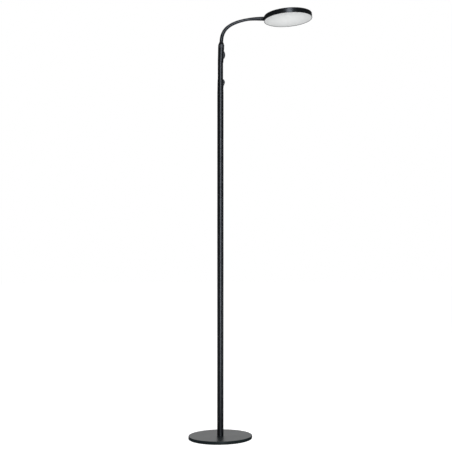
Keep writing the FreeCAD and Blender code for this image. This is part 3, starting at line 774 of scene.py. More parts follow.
def swept(name: str, rings: Sequence[Sequence[Vector]]) -> bpy.types.Object:
    """Closed skin through rings of points, with a flat cap at each end.

    Args:
        name: Name of the piece.
        rings: Rings of points, all with as many points.

    Returns:
        The piece.
    """
    mesh = bmesh.new()
    loops = [[mesh.verts.new(point) for point in ring] for ring in rings]
    for first, second in zip(loops, loops[1:]):
        bridge(mesh, first, second)
    mesh.faces.new(loops[0])
    mesh.faces.new(loops[-1][::-1])
    return publish_mesh(name, mesh)


def carve(piece: bpy.types.Object, tool: bpy.types.Object, carving: Carving) -> None:
    """Join a tool to a piece or cut it out, and remove the tool.

    Args:
        piece: The piece that is worked on.
        tool: The other solid.
        carving: What happens to the piece.
    """
    modifier = piece.modifiers.new("carving", "BOOLEAN")
    modifier.operation = carving.value
    modifier.solver = "EXACT"
    modifier.object = tool
    result = applied(piece)
    old = piece.data
    piece.data = result
    bpy.data.meshes.remove(old)
    bpy.data.objects.remove(tool)
    mesh = bmesh.new()
    mesh.from_mesh(result)
    crisp(mesh)
    mesh.to_mesh(result)
    mesh.free()


def fit_out(piece: bpy.types.Object, finish: Finish, body: str, *stands_for: str) -> bpy.types.Object:
    """Dress a piece, tie it to its body and let it stand for solids of the frame.

    Args:
        piece: The finished piece.
        finish: Its finish.
        body: The body that it moves with.
        stands_for: Solids that it takes the place of.

    Returns:
        The piece.
    """
    paint(piece, finish)
    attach(piece, body)
    if stands_for:
        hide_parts(*stands_for)
    log.info("%s: %d faces, on %s", piece.name, len(piece.data.polygons), body)
    return piece


def dress_solids(finish: Finish, *nodes: str) -> None:
    """Give solids that are shown as they are their finish.

    Args:
        finish: Their finish.
        nodes: Names of the solids.
    """
    for node in nodes:
        paint(frame["nodes"][node], finish)
        log.info("%s: shown as it is, in %s", node, finish.slot)


# ---- Frames inside the lamp --------------------------------------------------------


@dataclass
class LocalFrame:
    """A frame that leans in the XZ plane, in which a sub-assembly is upright."""

    origin: Vector
    lean: float

    @property
    def place(self) -> Matrix:
        """Matrix from this frame to the lamp's."""
        return Matrix.Translation(self.origin) @ Matrix.Rotation(self.lean, 4, "Y")

    def box(self, *nodes: str) -> Box:
        """Box of one or more solids, measured in this frame.

        Args:
            nodes: Names of the solids.

        Returns:
            Their lowest and highest corners.
        """
        inverse = self.place.inverted()
        points = [inverse @ vertex.co for node in nodes
                  for vertex in frame["nodes"][node].data.vertices]
        return tuple(Vector([end(point[axis] for point in points) for axis in range(3)])
                     for end in (min, max))


def joint_of(name: str) -> dict[str, Any]:
    """A joint of the frame by its name."""
    return next(joint for joint in frame["joints"] if joint["name"] == name)


def housing_frame() -> LocalFrame:
    """Frame of the switch housing, which leans towards the head and is set off to it.

    Returns:
        The frame, with its origin at the housing's foot.
    """
    axis = joint_of("button_press")["axis"]
    foot = Vector((0.0, 0.0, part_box("inner_tube")[1].z))
    central = LocalFrame(foot, math.atan2(axis[2], -axis[0]))
    low, high = central.box("neck_ring")
    return LocalFrame(foot + Vector(((low.x + high.x) / 2, 0.0, 0.0)), central.lean)


def head_frame() -> LocalFrame:
    """Frame of the lamp head, found from the flat faces of its diffuser.

    Returns:
        The frame, with its origin in the middle of the head's mouth.
    """
    level = 0.9
    up = Vector()
    for face in frame["nodes"]["diffuser"].data.polygons:
        if face.normal.z > level:
            up += face.normal * face.area
    tilted = LocalFrame(Vector(), math.atan2(up.x, up.z))
    low, high = tilted.box("head_housing")
    foot = Vector(((low.x + high.x) / 2, (low.y + high.y) / 2, low.z))
    return LocalFrame(tilted.place @ foot, tilted.lean)


# ---- Base and pole ------------------------------------------------------------------


@dataclass
class Base:
    """Weighted disc and the pad under it."""

    edge_rounding: float = 1.2 * MM
    foot_rounding: float = 0.6 * MM
    groove_pitch: float = 9 * MM
    groove_width: float = 2.4 * MM
    groove_depth: float = 0.4 * MM
    first_groove: float = 14 * MM
    pad_edge: float = 0.2 * MM
    pad_foot: float = 0.3 * MM
    segments: int = 224

    def plate(self) -> bpy.types.Object:
        """Steel disc with a rounded upper rim.

        Returns:
            The disc.
        """
        low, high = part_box("base_plate")
        return disc("weighted_disc", high.x, (low.z, high.z),
                    (self.foot_rounding, self.edge_rounding), self.segments)

    def pad(self) -> bpy.types.Object:
        """Rubber pad with rings of grip grooves in its underside.

        Returns:
            The pad.
        """
        low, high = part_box("base_pad")
        corners = [Corner(0.0, high.z), Corner(high.x, high.z, self.pad_edge),
                   Corner(high.x, low.z, self.pad_foot)]
        rim = high.x - self.groove_pitch
        count = int((rim - self.first_groove) / self.groove_pitch)
        for ring in reversed(range(count)):
            inner = self.first_groove + ring * self.groove_pitch
            outer = inner + self.groove_width
            roof = low.z + self.groove_depth
            corners += [Corner(outer, low.z), Corner(outer, roof),
                        Corner(inner, roof), Corner(inner, low.z)]
        corners.append(Corner(0.0, low.z))
        return turned("floor_pad", corners, self.segments)

    def build(self) -> None:
        """Make and dress the base."""
        fit_out(self.plate(), BASE_COAT, Body.STAND, "base_plate")
        fit_out(self.pad(), PAD_RUBBER, Body.STAND, "base_pad")
        dress_solids(PLATED_STEEL, "base_stud", "foot_insert")


@dataclass
class Tube:
    """A straight tube of the stand, upright on the pole's axis."""

    name: str
    node: str
    wall: float
    body: Body
    end_rounding: float = 0.35 * MM
    segments: int = 96

    def build(self) -> None:
        """Make and dress the tube."""
        low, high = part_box(self.node)
        radius = high.x
        tube = turned(self.name, [
            Corner(radius, low.z, self.end_rounding),
            Corner(radius, high.z, self.end_rounding),
            Corner(radius - self.wall, high.z),
            Corner(radius - self.wall, low.z),
        ], self.segments, closed=True)
        fit_out(tube, POLE_COAT, self.body, self.node)


@dataclass
class PowerInlet:
    """Round socket at the back of the pole, with its centre contact."""

    flange_edge: float = 0.5 * MM
    flange_depth: float = 1.6 * MM
    barrel_radius: float = 3.9 * MM
    bore_radius: float = 3.15 * MM
    bore_depth: float = 9.0 * MM
    mouth_chamfer: float = 0.35 * MM
    pin_round: float = 0.7 * MM
    segments: int = 56

    def build(self) -> None:
        """Make and dress the inlet."""
        low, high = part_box("power_jack")
        height = (low.z + high.z) / 2
        place = Matrix.Translation((0.0, 0.0, height)) @ Matrix.Rotation(-QUARTER_TURN, 4, "X")
        flange_radius = high.x
        back = high.y - self.flange_depth
        socket = turned("inlet_socket", [
            Corner(0.0, low.y),
            Corner(self.barrel_radius, low.y, self.mouth_chamfer),
            Corner(self.barrel_radius, back),
            Corner(flange_radius, back),
            Corner(flange_radius, high.y, self.flange_edge),
            Corner(self.bore_radius, high.y, self.mouth_chamfer),
            Corner(self.bore_radius, high.y - self.bore_depth),
            Corner(0.0, high.y - self.bore_depth),
        ], self.segments, place)
        fit_out(socket, JACK_PLASTIC, Body.STAND, "power_jack")
        pin_low, pin_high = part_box("jack_pin")
        contact = disc("inlet_contact", pin_high.x, (pin_low.y, pin_high.y),
                       (0.0, self.pin_round), self.segments, place)
        fit_out(contact, CONTACT_BRASS, Body.STAND, "jack_pin")


# ---- Height collar --------------------------------------------------------------------


@dataclass
class HeightCollar:
    """Tapered collar, its two cheeks, the release lever and its pin."""

    waist_share: float = 0.5
    waist_inset: float = 0.6 * MM
    shoulder_share: float = 0.805
    shoulder_radius: float = 10.3 * MM
    top_radius: float = 9.95 * MM
    foot_edge: float = 0.3 * MM
    top_edge: float = 0.4 * MM
    waist_curve: float = 60 * MM
    shoulder_curve: float = 15 * MM
    skirt_radius: float = 10.15 * MM
    bore_radius: float = 9.45 * MM
    lever_gap: float = 0.2 * MM
    cheek_inset: float = 1.4 * MM
    cheek_edge: float = 0.5 * MM
    cheek_drop: float = 2.0 * MM
    cheek_root: float = 1.0 * MM
    cheek_inward: tuple[float, ...] = (0.5, 0.5, 1.0, 0.5)
    cheek_down: tuple[float, ...] = (0.0, 0.0, 1.0, 0.5)
    lever_edge: float = 0.7 * MM
    lever_throat_share: float = 0.184
    lever_throat_round: float = 6 * MM
    lever_step_share: float = 0.484
    lever_peak_share: float = 0.704
    lever_peak_round: float = 3.0 * MM
    lever_peak_cut: float = 0.2 * MM
    lever_foot_out: float = 11.0 * MM
    lever_top_depth: float = 1.1 * MM
    lever_back: float = 11.75 * MM
    cut_over: float = 2 * MM
    pin_segments: int = 32
    segments: int = 144

    def lever_face(self) -> list[Corner]:
        """Outer outline of the lever, from its foot over the peak to its top.

        Returns:
            Four corners, from below upwards.
        """
        low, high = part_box("release_lever")
        rise = high.z - low.z
        return [
            Corner(self.lever_foot_out, low.z + self.lever_edge, self.lever_edge),
            Corner(self.lever_foot_out, low.z + rise * self.lever_throat_share,
                   self.lever_throat_round),
            Corner(high.x + self.lever_peak_cut, low.z + rise * self.lever_peak_share,
                   self.lever_peak_round),
            Corner(self.lever_back + self.lever_top_depth, high.z, self.lever_edge),
        ]

    def lever(self) -> bpy.types.Object:
        """Wedge with a hollowed thumb face.

        Returns:
            The lever.
        """
        low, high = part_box("release_lever")
        step = low.z + (high.z - low.z) * self.lever_step_share
        return extruded("release_paddle", self.lever_face() + [
            Corner(self.lever_back, high.z - self.lever_edge, self.lever_edge / 2),
            Corner(self.lever_back, step),
            Corner(low.x, step - self.cheek_drop),
            Corner(low.x, low.z),
        ], 0.0, high.y, self.lever_edge)

    def cheek(self, side: int) -> bpy.types.Object:
        """One cheek beside the lever.

        Args:
            side: 1 for the cheek at +Y, -1 for the other.

        Returns:
            The cheek, still apart from the collar.
        """
        pin_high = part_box("lever_pin")[1]
        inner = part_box("release_lever")[1].y + self.lever_gap
        root = self.bore_radius - self.cheek_root
        face = [Corner(corner.across - self.cheek_inset * inward,
                       corner.up - self.cheek_inset * down, corner.rounding)
                for corner, inward, down in zip(self.lever_face(), self.cheek_inward, self.cheek_down)]
        return extruded("cheek", [
            Corner(root, face[0].up - self.cheek_drop),
            *face,
            Corner(root, face[-1].up + self.cheek_drop),
        ], side * (inner + pin_high.y) / 2, (pin_high.y - inner) / 2, self.cheek_edge)

    def collar(self) -> bpy.types.Object:
        """Collar with its skirt in the pole, both cheeks and the lever's window.

        Returns:
            The collar.
        """
        low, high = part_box("height_collar")
        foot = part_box("upper_pole")[1].z
        foot_radius = -low.x
        waist = foot + (high.z - foot) * self.waist_share
        shoulder = foot + (high.z - foot) * self.shoulder_share
        body = turned("height_collar_body", [
            Corner(self.bore_radius, low.z),
            Corner(self.skirt_radius, low.z),
            Corner(self.skirt_radius, foot),
            Corner(foot_radius, foot, self.foot_edge),
            Corner(foot_radius - self.waist_inset, waist, self.waist_curve),
            Corner(self.shoulder_radius, shoulder, self.shoulder_curve),
            Corner(self.top_radius, high.z, self.top_edge),
            Corner(self.bore_radius, high.z, self.foot_edge / 2),
        ], self.segments, closed=True)
        for side in (-1, 1):
            carve(body, self.cheek(side), Carving.JOIN)
        lever_low, lever_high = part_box("release_lever")
        window_high = lever_low.z + (lever_high.z - lever_low.z) / 2
        window_low = lever_low.z - self.lever_gap
        across = lever_high.y + self.lever_gap
        inner, outer = self.bore_radius - self.cut_over, high.x + self.cut_over
        window = extruded("window", [
            Corner(inner, window_low), Corner(outer, window_low),
            Corner(outer, window_high), Corner(inner, window_high),
        ], 0.0, across, 0.0)
        carve(body, window, Carving.CUT)
        return body

    def pin(self) -> bpy.types.Object:
        """Pivot pin with softened ends, flush with the cheeks.

        Returns:
            The pin.
        """
        low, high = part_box("lever_pin")
        radius = (high.z - low.z) / 2
        middle = (low + high) / 2
        place = Matrix.Translation(middle) @ Matrix.Rotation(-QUARTER_TURN, 4, "X")
        return disc("pivot_pin", radius, (low.y, high.y), (radius / 3, radius / 3),
                    self.pin_segments, place)

    def build(self) -> None:
        """Make and dress the collar and its lever."""
        fit_out(self.collar(), COLLAR_PLASTIC, Body.STAND, "height_collar")
        fit_out(self.lever(), LEVER_PLASTIC, Body.LEVER, "release_lever")
        fit_out(self.pin(), PLATED_STEEL, Body.STAND, "lever_pin")
        dress_solids(SPRING_STEEL, "lever_spring")
        dress_solids(SHOE_RUBBER, "brake_shoe")


# ---- Switch housing ---------------------------------------------------------------------


@dataclass
class SwitchHousing:
    """Leaning housing with its dimmer button, and the ring and cone above it."""

    wall: float = 1.4 * MM
    foot_edge: float = 0.4 * MM
    top_edge: float = 0.2 * MM
    window_gap: float = 0.25 * MM
    button_width: float = 13.0 * MM
    button_drop: float = 4.1 * MM
    button_crown: float = 0.9 * MM
    foot_lip: float = 0.55 * MM
    foot_sunk: float = 0.6 * MM
    flange_margin: float = 1.2 * MM
    cut_over: float = 2 * MM
    ring_lip: float = 0.05 * MM
    button_edge: float = 1.3 * MM
    button_rings: int = 14
    edge_rings: int = 5
    spine_least: float = 0.08
    ring_band: float = 12.6 * MM
    ring_edge: float = 0.35 * MM
    shoulder_share: float = 0.36
    shoulder_inset: float = 1.9 * MM
    shoulder_round: float = 6 * MM
    cone_sunk: float = 0.2 * MM
    cone_lip: float = 0.25 * MM
    cone_edge: float = 0.3 * MM
    segments: int = 160

    def __post_init__(self) -> None:
        """Measure the housing's solids in its own frame."""
        self.local = housing_frame()
        self.ring_high = self.local.box("neck_ring")[1]
        self.cone_low, self.cone_high = self.local.box("neck_cone")
        button_low, button_high = self.local.box("dimmer_button")
        self.button_middle = (button_high.z + button_low.z) / 2
        self.button_half = (button_high.z - button_low.z) / 2 - self.flange_margin
        self.button_front = button_high.x
        self.top = self.cone_low.z - self.ring_band
        self.foot_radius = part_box("inner_tube")[1].x + self.foot_lip
        self.top_radius = self.ring_high.x - self.ring_lip

    def shell(self) -> bpy.types.Object:
        """Housing shell, from the sliding tube's end to the ring.

        Returns:
            The shell.
        """
        shell = turned("switch_shell", [
            Corner(self.foot_radius - self.wall, -self.foot_sunk),
            Corner(self.foot_radius, -self.foot_sunk, self.foot_edge),
            Corner(self.top_radius, self.top, self.top_edge),
            Corner(self.top_radius - self.wall, self.top),
        ], self.segments, self.local.place, closed=True)
        span = self.foot_radius / 3, self.button_front + self.cut_over
        carve(shell, self.stadium("window", self.window_gap, span), Carving.CUT)
        return shell

    def stadium_ring(self, grow: float, share: float, count: int = 72) -> list[Point2]:
        """Points of a slot outline in the (y, z) plane.

        Args:
            grow: How much larger than the button it is, all round.
            share: Scale about the slot's own spine, from 1 at the edge to 0.
            count: Number of points.

        Returns:
            The points, around the button's middle.
        """
        radius = (self.button_width / 2 + grow) * share
        spine = (self.button_half - self.button_width / 2) * max(share, self.spine_least)
        points = []
        for step in range(count):
            angle = FULL_TURN * (step + 0.5) / count
            shift = math.copysign(spine, math.sin(angle))
            points.append((radius * math.cos(angle), shift + radius * math.sin(angle)))
        return points

    def stadium(self, name: str, grow: float, span: Point2) -> bpy.types.Object:
        """Straight bar along X with a slot section.

        Args:
            name: Name of the bar.
            grow: How much larger than the button it is.
            span: Where it starts and ends along X.

        Returns:
            The bar, in the lamp.
        """
        ring = self.stadium_ring(grow, 1.0)
        return self.lofted(name, [[Vector((x, y, z)) for y, z in ring] for x in span])

    def lofted(self, name: str, rings: Sequence[Sequence[Vector]]) -> bpy.types.Object:
        """Skin through rings of points around the button's middle, put in its place."""
        place = self.local.place @ Matrix.Translation((0.0, 0.0, self.button_middle))
        return swept(name, [[place @ point for point in ring] for ring in rings])

    def button(self) -> bpy.types.Object:
        """Domed oval cap with a soft edge.

        Returns:
            The cap.
        """
        def dome(y: float, z: float) -> float:
            """Distance of the dome's surface from the housing's axis.

            Args:
                y: Distance to the side of the cap's middle.
                z: Height above the cap's middle.

            Returns:
                The distance.
            """
            along = min(1.0, abs(z) / self.button_half)
            across = min(1.0, 2 * abs(y) / self.button_width)
            return self.button_front - self.button_drop * along ** 2 - self.button_crown * across ** 2

        rings = [[Vector((self.foot_radius / 2, y, z)) for y, z in self.stadium_ring(0.0, 1.0)]]
        for step in range(self.edge_rings + 1):
            turn = QUARTER_TURN * step / self.edge_rings
            grow = -self.button_edge * (1 - math.cos(turn))
            drop = self.button_edge * (1 - math.sin(turn))
            rings.append([Vector((dome(y, z) - drop, y, z)) for y, z in self.stadium_ring(grow, 1.0)])
        for step in range(1, self.button_rings):
            share = 1 - step / self.button_rings
            rings.append([Vector((dome(y, z), y, z))
                          for y, z in self.stadium_ring(-self.button_edge, share)])
        return self.lofted("dimmer_cap", rings)

    def ring(self) -> bpy.types.Object:
        """Plain band down to the shell's top, with fine roundings that read as seams."""
        return disc("ferrule_ring", self.ring_high.x, (self.top, self.ring_high.z),
                    (self.ring_edge, self.ring_edge), self.segments, self.local.place)

    def cone(self) -> bpy.types.Object:
        """Ferrule with a rounded shoulder that runs up to the neck.

        Returns:
            The cone.
        """
        rise = self.cone_high.z - self.cone_low.z
        shoulder = self.cone_low.z + rise * self.shoulder_share
        foot = self.cone_low.z - self.cone_sunk
        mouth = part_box("neck_root")[1].y + self.cone_lip
        return turned("ferrule_cone", [
            Corner(0.0, foot),
            Corner(self.cone_high.x, foot),
            Corner(self.cone_high.x - self.shoulder_inset / 2, shoulder, self.shoulder_round),
            Corner(mouth, self.cone_high.z, self.cone_edge),
            Corner(0.0, self.cone_high.z),
        ], self.segments, self.local.place)

    def build(self) -> None:
        """Make and dress the housing, button, ring and cone."""
        fit_out(self.shell(), HOUSING_PLASTIC, Body.MAST, "switch_housing")
        fit_out(self.button(), BUTTON_PLASTIC, Body.BUTTON, "dimmer_button")
        fit_out(self.ring(), FERRULE_COAT, Body.MAST, "neck_ring")
        fit_out(self.cone(), CONE_COAT, Body.MAST, "neck_cone")
        dress_solids(GREEN_BOARD, "switch_board")
        dress_solids(SWITCH_PLASTIC, "push_switch", "switch_plunger")
        dress_solids(PLATED_STEEL, "neck_nut")
        dress_solids(NECK_STEEL, "neck_root")


# ---- Gooseneck -----------------------------------------------------------------------------


@dataclass
class Knot:
    """A point of the neck's centreline and its direction there, as an angle above +X."""

    point: Vector
    angle: float

    @property
    def direction(self) -> Vector:
        """Unit vector along the centreline."""
        return Vector((math.cos(self.angle), 0.0, math.sin(self.angle)))


class NeckPath:
    """Centreline from the cone through every joint of the neck to the head's rim."""

    STEPS_PER_SPAN = 24

    def __init__(self, start: Knot, end: Knot) -> None:
        """Read the joints and trace the centreline.

        Args:
            start: Where the neck leaves its cone.
            end: Where the stem meets the head's rim.
        """
        hinges = [joint for joint in frame["joints"] if joint["name"].startswith("neck_")]
        centres = [Vector(joint["pos_m"]) for joint in hinges]
        sway = joint_of("neck_sway_1")["axis"]
        angles = [0.0, math.atan2(-sway[0], sway[2])]
        angles[0] = 2 * self._chord(centres[0], centres[1]) - angles[1]
        for first, second in zip(centres[1:], centres[2:]):
            angles.append(2 * self._chord(first, second) - angles[-1])
        self.knots = [start] + [Knot(c, a) for c, a in zip(centres, angles)] + [end]
        self.points: list[Vector] = []
        self.marks: list[float] = [0.0]
        for first, second in zip(self.knots, self.knots[1:]):
            self._trace(first, second)

    @staticmethod
    def _chord(first: Vector, second: Vector) -> float:
        """Angle above +X of the line between two points."""
        return math.atan2(second.z - first.z, second.x - first.x)

    def _trace(self, first: Knot, second: Knot) -> None:
        """Add the points of one span and the length at its end.

        Args:
            first: Knot where the span starts.
            second: Knot where it ends.
        """
        handle = (second.point - first.point).length / 3
        span = interpolate_bezier(first.point, first.point + first.direction * handle,
                                  second.point - second.direction * handle, second.point,
                                  self.STEPS_PER_SPAN + 1)
        length = sum((b - a).length for a, b in zip(span, span[1:]))
        self.points += span[1:] if self.points else span
        self.marks.append(self.marks[-1] + length)

    def at(self, distance: float) -> Knot:
        """Find a place on the centreline.

        Args:
            distance: Length from the start of the centreline.

        Returns:
            The point and direction.
        """
        travelled = 0.0
        for first, second in zip(self.points, self.points[1:]):
            step = (second - first).length
            if travelled + step >= distance or second is self.points[-1]:
                share = (distance - travelled) / step
                return Knot(first.lerp(second, share), self._chord(first, second))
            travelled += step
        raise ValueError("the centreline has no points")


class SheathRecipe(NodeTree):
    """Geometry Nodes tree that draws a tapered, finely ribbed tube along a line."""

    INPUTS = {
        "Start": "NodeSocketFloat", "End": "NodeSocketFloat", "Whole Length": "NodeSocketFloat",
        "Foot Radius": "NodeSocketFloat", "Tip Radius": "NodeSocketFloat",
        "Rib Pitch": "NodeSocketFloat", "Rib Height": "NodeSocketFloat",
        "Rings Per Rib": "NodeSocketFloat", "Facets": "NodeSocketInt",
        "Material": "NodeSocketMaterial",
    }

    def __init__(self) -> None:
        """Build the tree."""
        super().__init__(bpy.data.node_groups.new("neck_sheath_recipe", "GeometryNodeTree"))
        self.tree.interface.new_socket("Line", in_out="INPUT", socket_type="NodeSocketGeometry")
        for name, kind in self.INPUTS.items():
            self.tree.interface.new_socket(name, in_out="INPUT", socket_type=kind)
        self.tree.interface.new_socket("Tube", in_out="OUTPUT", socket_type="NodeSocketGeometry")
        self.entry = self.tree.nodes.new("NodeGroupInput")
        line = self.node("GeometryNodeMeshToCurve", None, {"Mesh": self.given("Line")})
        part = self.node("GeometryNodeTrimCurve", {"mode": "LENGTH"},
                         {"Curve": line, 4: self.given("Start"), 5: self.given("End")})
        even = self.node("GeometryNodeResampleCurve", {"mode": "LENGTH"},
                         {"Curve": part, 3: self.given("Rib Pitch") / self.given("Rings Per Rib")})
        travelled = self.node("GeometryNodeSplineParameter", output="Length") + self.given("Start")
        share = travelled / self.given("Whole Length")
        taper = self.given("Foot Radius") + (
            self.given("Tip Radius") - self.given("Foot Radius")) * share
        wave = (travelled / self.given("Rib Pitch") * FULL_TURN).cosine() * 0.5 - 0.5
        circle = self.node("GeometryNodeCurvePrimitiveCircle", {"mode": "RADIUS"},
                           {"Resolution": self.given("Facets"), "Radius": 1.0})
        tube = self.node("GeometryNodeCurveToMesh", None,
                         {"Curve": even, "Profile Curve": circle, "Fill Caps": True,
                          "Scale": taper + wave * self.given("Rib Height")})
        solid = self.node("GeometryNodeRealizeInstances", None, {0: tube})
        coloured = self.node("GeometryNodeSetMaterial", None,
                             {"Geometry": solid, "Material": self.given("Material")})
        self.node("NodeGroupOutput", None, {"Tube": coloured})

    def given(self, name: str) -> Field:
        """One of the tree's own inputs."""
        return Field(self, self.entry.outputs[name])

    def apply(self, name: str, line: Sequence[Vector], values: dict[str, Any]) -> bpy.types.Object:
        """Run the tree on a line of points.

        Args:
            name: Name of the piece.
            line: Points of the line.
            values: The tree's inputs by name.

        Returns:
            The tube as a plain mesh object.
        """
        data = bpy.data.meshes.new(name)
        edges = [(index, index + 1) for index in range(len(line) - 1)]
        data.from_pydata([tuple(point) for point in line], edges, [])
        carrier = linked(name, data)
        modifier = carrier.modifiers.new("recipe", "NODES")
        modifier.node_group = self.tree
        for item in self.tree.interface.items_tree:
            if item.in_out == "INPUT" and item.name in values:
                modifier[item.identifier] = values[item.name]
        result = applied(carrier)
        mesh = bmesh.new()
        mesh.from_mesh(result)
        bpy.data.objects.remove(carrier)
        tube = publish_mesh(name, mesh)
        for material in result.materials:
            tube.data.materials.append(material)
        bpy.data.meshes.remove(result)
        return tube


@dataclass
class Gooseneck:
    """Sheath over the neck's links, and the flared stem that carries the head."""

    skin_proud: float = 0.18 * MM
    rib_pitch: float = 1.5 * MM
    rib_height: float = 0.07 * MM
    rings_per_rib: float = 6.0
    facets: int = 48
    blend_margin: float = 1.2 * MM
    stem_lap: float = 7.5 * MM
    stem_step: float = 0.12 * MM
    stem_rings: int = 44
    flare_start: float = 12.0 * MM
    flare_power: float = 0.85
    rim_radius: float = 7.4 * MM
    rim_angle: float = math.radians(-0.4)
    fillet_reach: float = 9.0 * MM
    fillet_grow: float = 1.6 * MM
    rim_round: float = 4.5 * MM
    rim_limit: float = 0.98
    sink: float = 0.25 * MM

    def __post_init__(self) -> None:
        """Trace the centreline between the cone and the head."""
        housing = housing_frame()
        cone_top = housing.box("neck_cone")[1].z
        start = Knot(housing.place @ Vector((0, 0, cone_top)), QUARTER_TURN - housing.lean)
        self.head = head_frame()
        high = self.head.box("head_housing")[1]
        self.head_radius = high.y
        self.head_height = high.z
        stem_low, stem_high = self.head.box("stem_nut")
        self.stem_height = (stem_low.z + stem_high.z) / 2
        rim = self.head.place @ Vector((-self.head_radius, 0, self.stem_height))
        self.path = NeckPath(start, Knot(rim, self.rim_angle))
        self.foot_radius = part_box("neck_root")[1].y + self.skin_proud
        self.tip_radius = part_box("neck_core_8")[1].y + self.skin_proud

    def sheath(self) -> None:
        """Nine lengths of sheath, each laid along the centreline over one joint."""
        recipe = SheathRecipe()
        marks = self.path.marks
        joints = marks[1:-1]
        middles = [(a + b) / 2 for a, b in zip(joints, joints[1:])]
        ends = [0.0] + middles + [joints[-1] + self.stem_lap]
        links = [f"neck_link_{index + 1}" for index in range(len(joints) - 1)]
        bodies = [Body.MAST.value] + links + [Body.HEAD.value]
        for index, (start, end) in enumerate(zip(ends, ends[1:])):
            piece = recipe.apply(f"neck_sheath_{index + 1}", self.path.points, {
                "Start": start, "End": end, "Whole Length": ends[-1],
                "Foot Radius": self.foot_radius, "Tip Radius": self.tip_radius,
                "Rib Pitch": self.rib_pitch, "Rib Height": self.rib_height,
                "Rings Per Rib": self.rings_per_rib, "Facets": self.facets,
                "Material": material_of(NECK_SKIN),
            })
            bodies[index + 1]
            self.path.at(start + self.blend_margin).point
            self.path.at(end - self.blend_margin).point
            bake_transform(piece)
            if index < len(links):
                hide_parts(f"neck_sleeve_{index + 1}", f"neck_core_{index + 1}")
            log.info("%s: %d faces, bends over joint %d", piece.name,
                     len(piece.data.polygons), index + 1)

    def rim_surface(self, height: float) -> float:
        """Radius of the head's rim at a height.

        Args:
            height: Height above the head's foot.

        Returns:
            The radius.
        """
        above = max(0.0, height - (self.head_height - self.rim_round))
        above = min(above, self.rim_round * self.rim_limit)
        return self.head_radius - self.rim_round + math.sqrt(self.rim_round ** 2 - above ** 2)

    def stem(self) -> bpy.types.Object:
        """Flared stem whose end is fitted to the head's rim.

        Returns:
            The stem.
        """
        start = self.path.marks[-2] + self.stem_lap
        end = self.path.marks[-1]
        flare = self.path.marks[-2] + self.flare_start
        to_head = self.head.place.inverted()
        rings = []
        for index in range(self.stem_rings + 1):
            share = index / self.stem_rings
            distance = start + (end - start) * share
            knot = self.path.at(distance)
            flared = max(0.0, (distance - flare) / (end - flare)) ** self.flare_power
            radius = self.tip_radius + self.stem_step + (
                self.rim_radius - self.tip_radius - self.stem_step) * flared
            near = max(0.0, 1 - (end - distance) / self.fillet_reach)
            wide = radius + self.fillet_grow * near ** 3
            across = knot.direction.cross(Vector((0, 1, 0)))
            ring = []
            for facet in range(self.facets):
                angle = FULL_TURN * facet / self.facets
                point = knot.point + across * (radius * math.cos(angle))
                point += Vector((0, 1, 0)) * (wide * math.sin(angle))
                ring.append(self.to_rim(to_head @ point, near))
            rings.append([self.head.place @ point for point in ring])
        return swept("flared_stem", rings)

    def to_rim(self, point: Vector, near: float) -> Vector:
        """Slide a point of the stem's last stretch towards the rim's surface.

        Args:
            point: Point in the head's frame.
            near: 0 at the start of the fillet, 1 at the rim.

        Returns:
            The moved point.
        """
        reach = self.rim_surface(point.z) - self.sink
        target = -math.sqrt(reach ** 2 - point.y ** 2)
        flat_end = -self.head_radius
        return Vector((point.x + (target - flat_end) * near ** 2, point.y, point.z))

    def build(self) -> None:
        """Make and dress the neck and the stem."""
        self.sheath()
        fit_out(self.stem(), HEAD_COAT, Body.HEAD, "head_stem")
        dress_solids(PLATED_STEEL, "stem_nut")


# ---- Lamp head ------------------------------------------------------------------------------


@dataclass
class LampHead:
    """Shallow dish with its opal diffuser, and the light source inside."""

    wall: float = 1.85 * MM
    roof: float = 2.0 * MM
    top_round: float = 4.5 * MM
    lip_round: float = 0.45 * MM
    inner_round: float = 0.25 * MM
    diffuser_edge: float = 0.3 * MM
    segments: int = 256

    def dish(self, local: LocalFrame) -> bpy.types.Object:
        """The dish, open below, with a narrow lip around its mouth.

        Args:
            local: Frame of the head.

        Returns:
            The dish.
        """
        high = local.box("head_housing")[1]
        radius = high.y
        return turned("head_dish", [
            Corner(0.0, high.z),
            Corner(radius, high.z, self.top_round),
            Corner(radius, 0.0, self.lip_round),
            Corner(radius - self.wall, 0.0, self.inner_round),
            Corner(radius - self.wall, high.z - self.roof, self.top_round - self.wall),
            Corner(0.0, high.z - self.roof),
        ], self.segments, local.place)

    def diffuser(self, local: LocalFrame) -> bpy.types.Object:
        """Opal disc set back in the mouth.

        Args:
            local: Frame of the head.

        Returns:
            The disc.
        """
        low, high = local.box("diffuser")
        return disc("opal_disc", high.y, (low.z, high.z),
                    (self.diffuser_edge, self.diffuser_edge), self.segments, local.place)

    def build(self) -> None:
        """Make and dress the head."""
        local = head_frame()
        low, high = local.box("diffuser")
        # the second colour is painted shade, darkening the disc towards its rim
        opal = OpalAcrylic("diffuser_opal", (0.68, 0.69, 0.69), 0.42,
                           painted_shade_colour=(0.47, 0.48, 0.48), radius=high.y, tilt=local.lean,
                           centre=tuple(local.place @ Vector((0, 0, low.z))))
        fit_out(self.dish(local), HEAD_COAT, Body.HEAD, "head_housing")
        fit_out(self.diffuser(local), opal, Body.HEAD, "diffuser")
        dress_solids(REFLECTOR_PLASTIC, "reflector_frame")
        dress_solids(BARE_ALUMINIUM, "heat_spreader")
        dress_solids(WHITE_BOARD, "led_board")
        dress_solids(PHOSPHOR, "led_chips")
        dress_solids(PLATED_STEEL, "head_screws")
        dress_solids(LEAD_SKIN, "head_lead")


# ---- Studio ---------------------------------------------------------------------------------


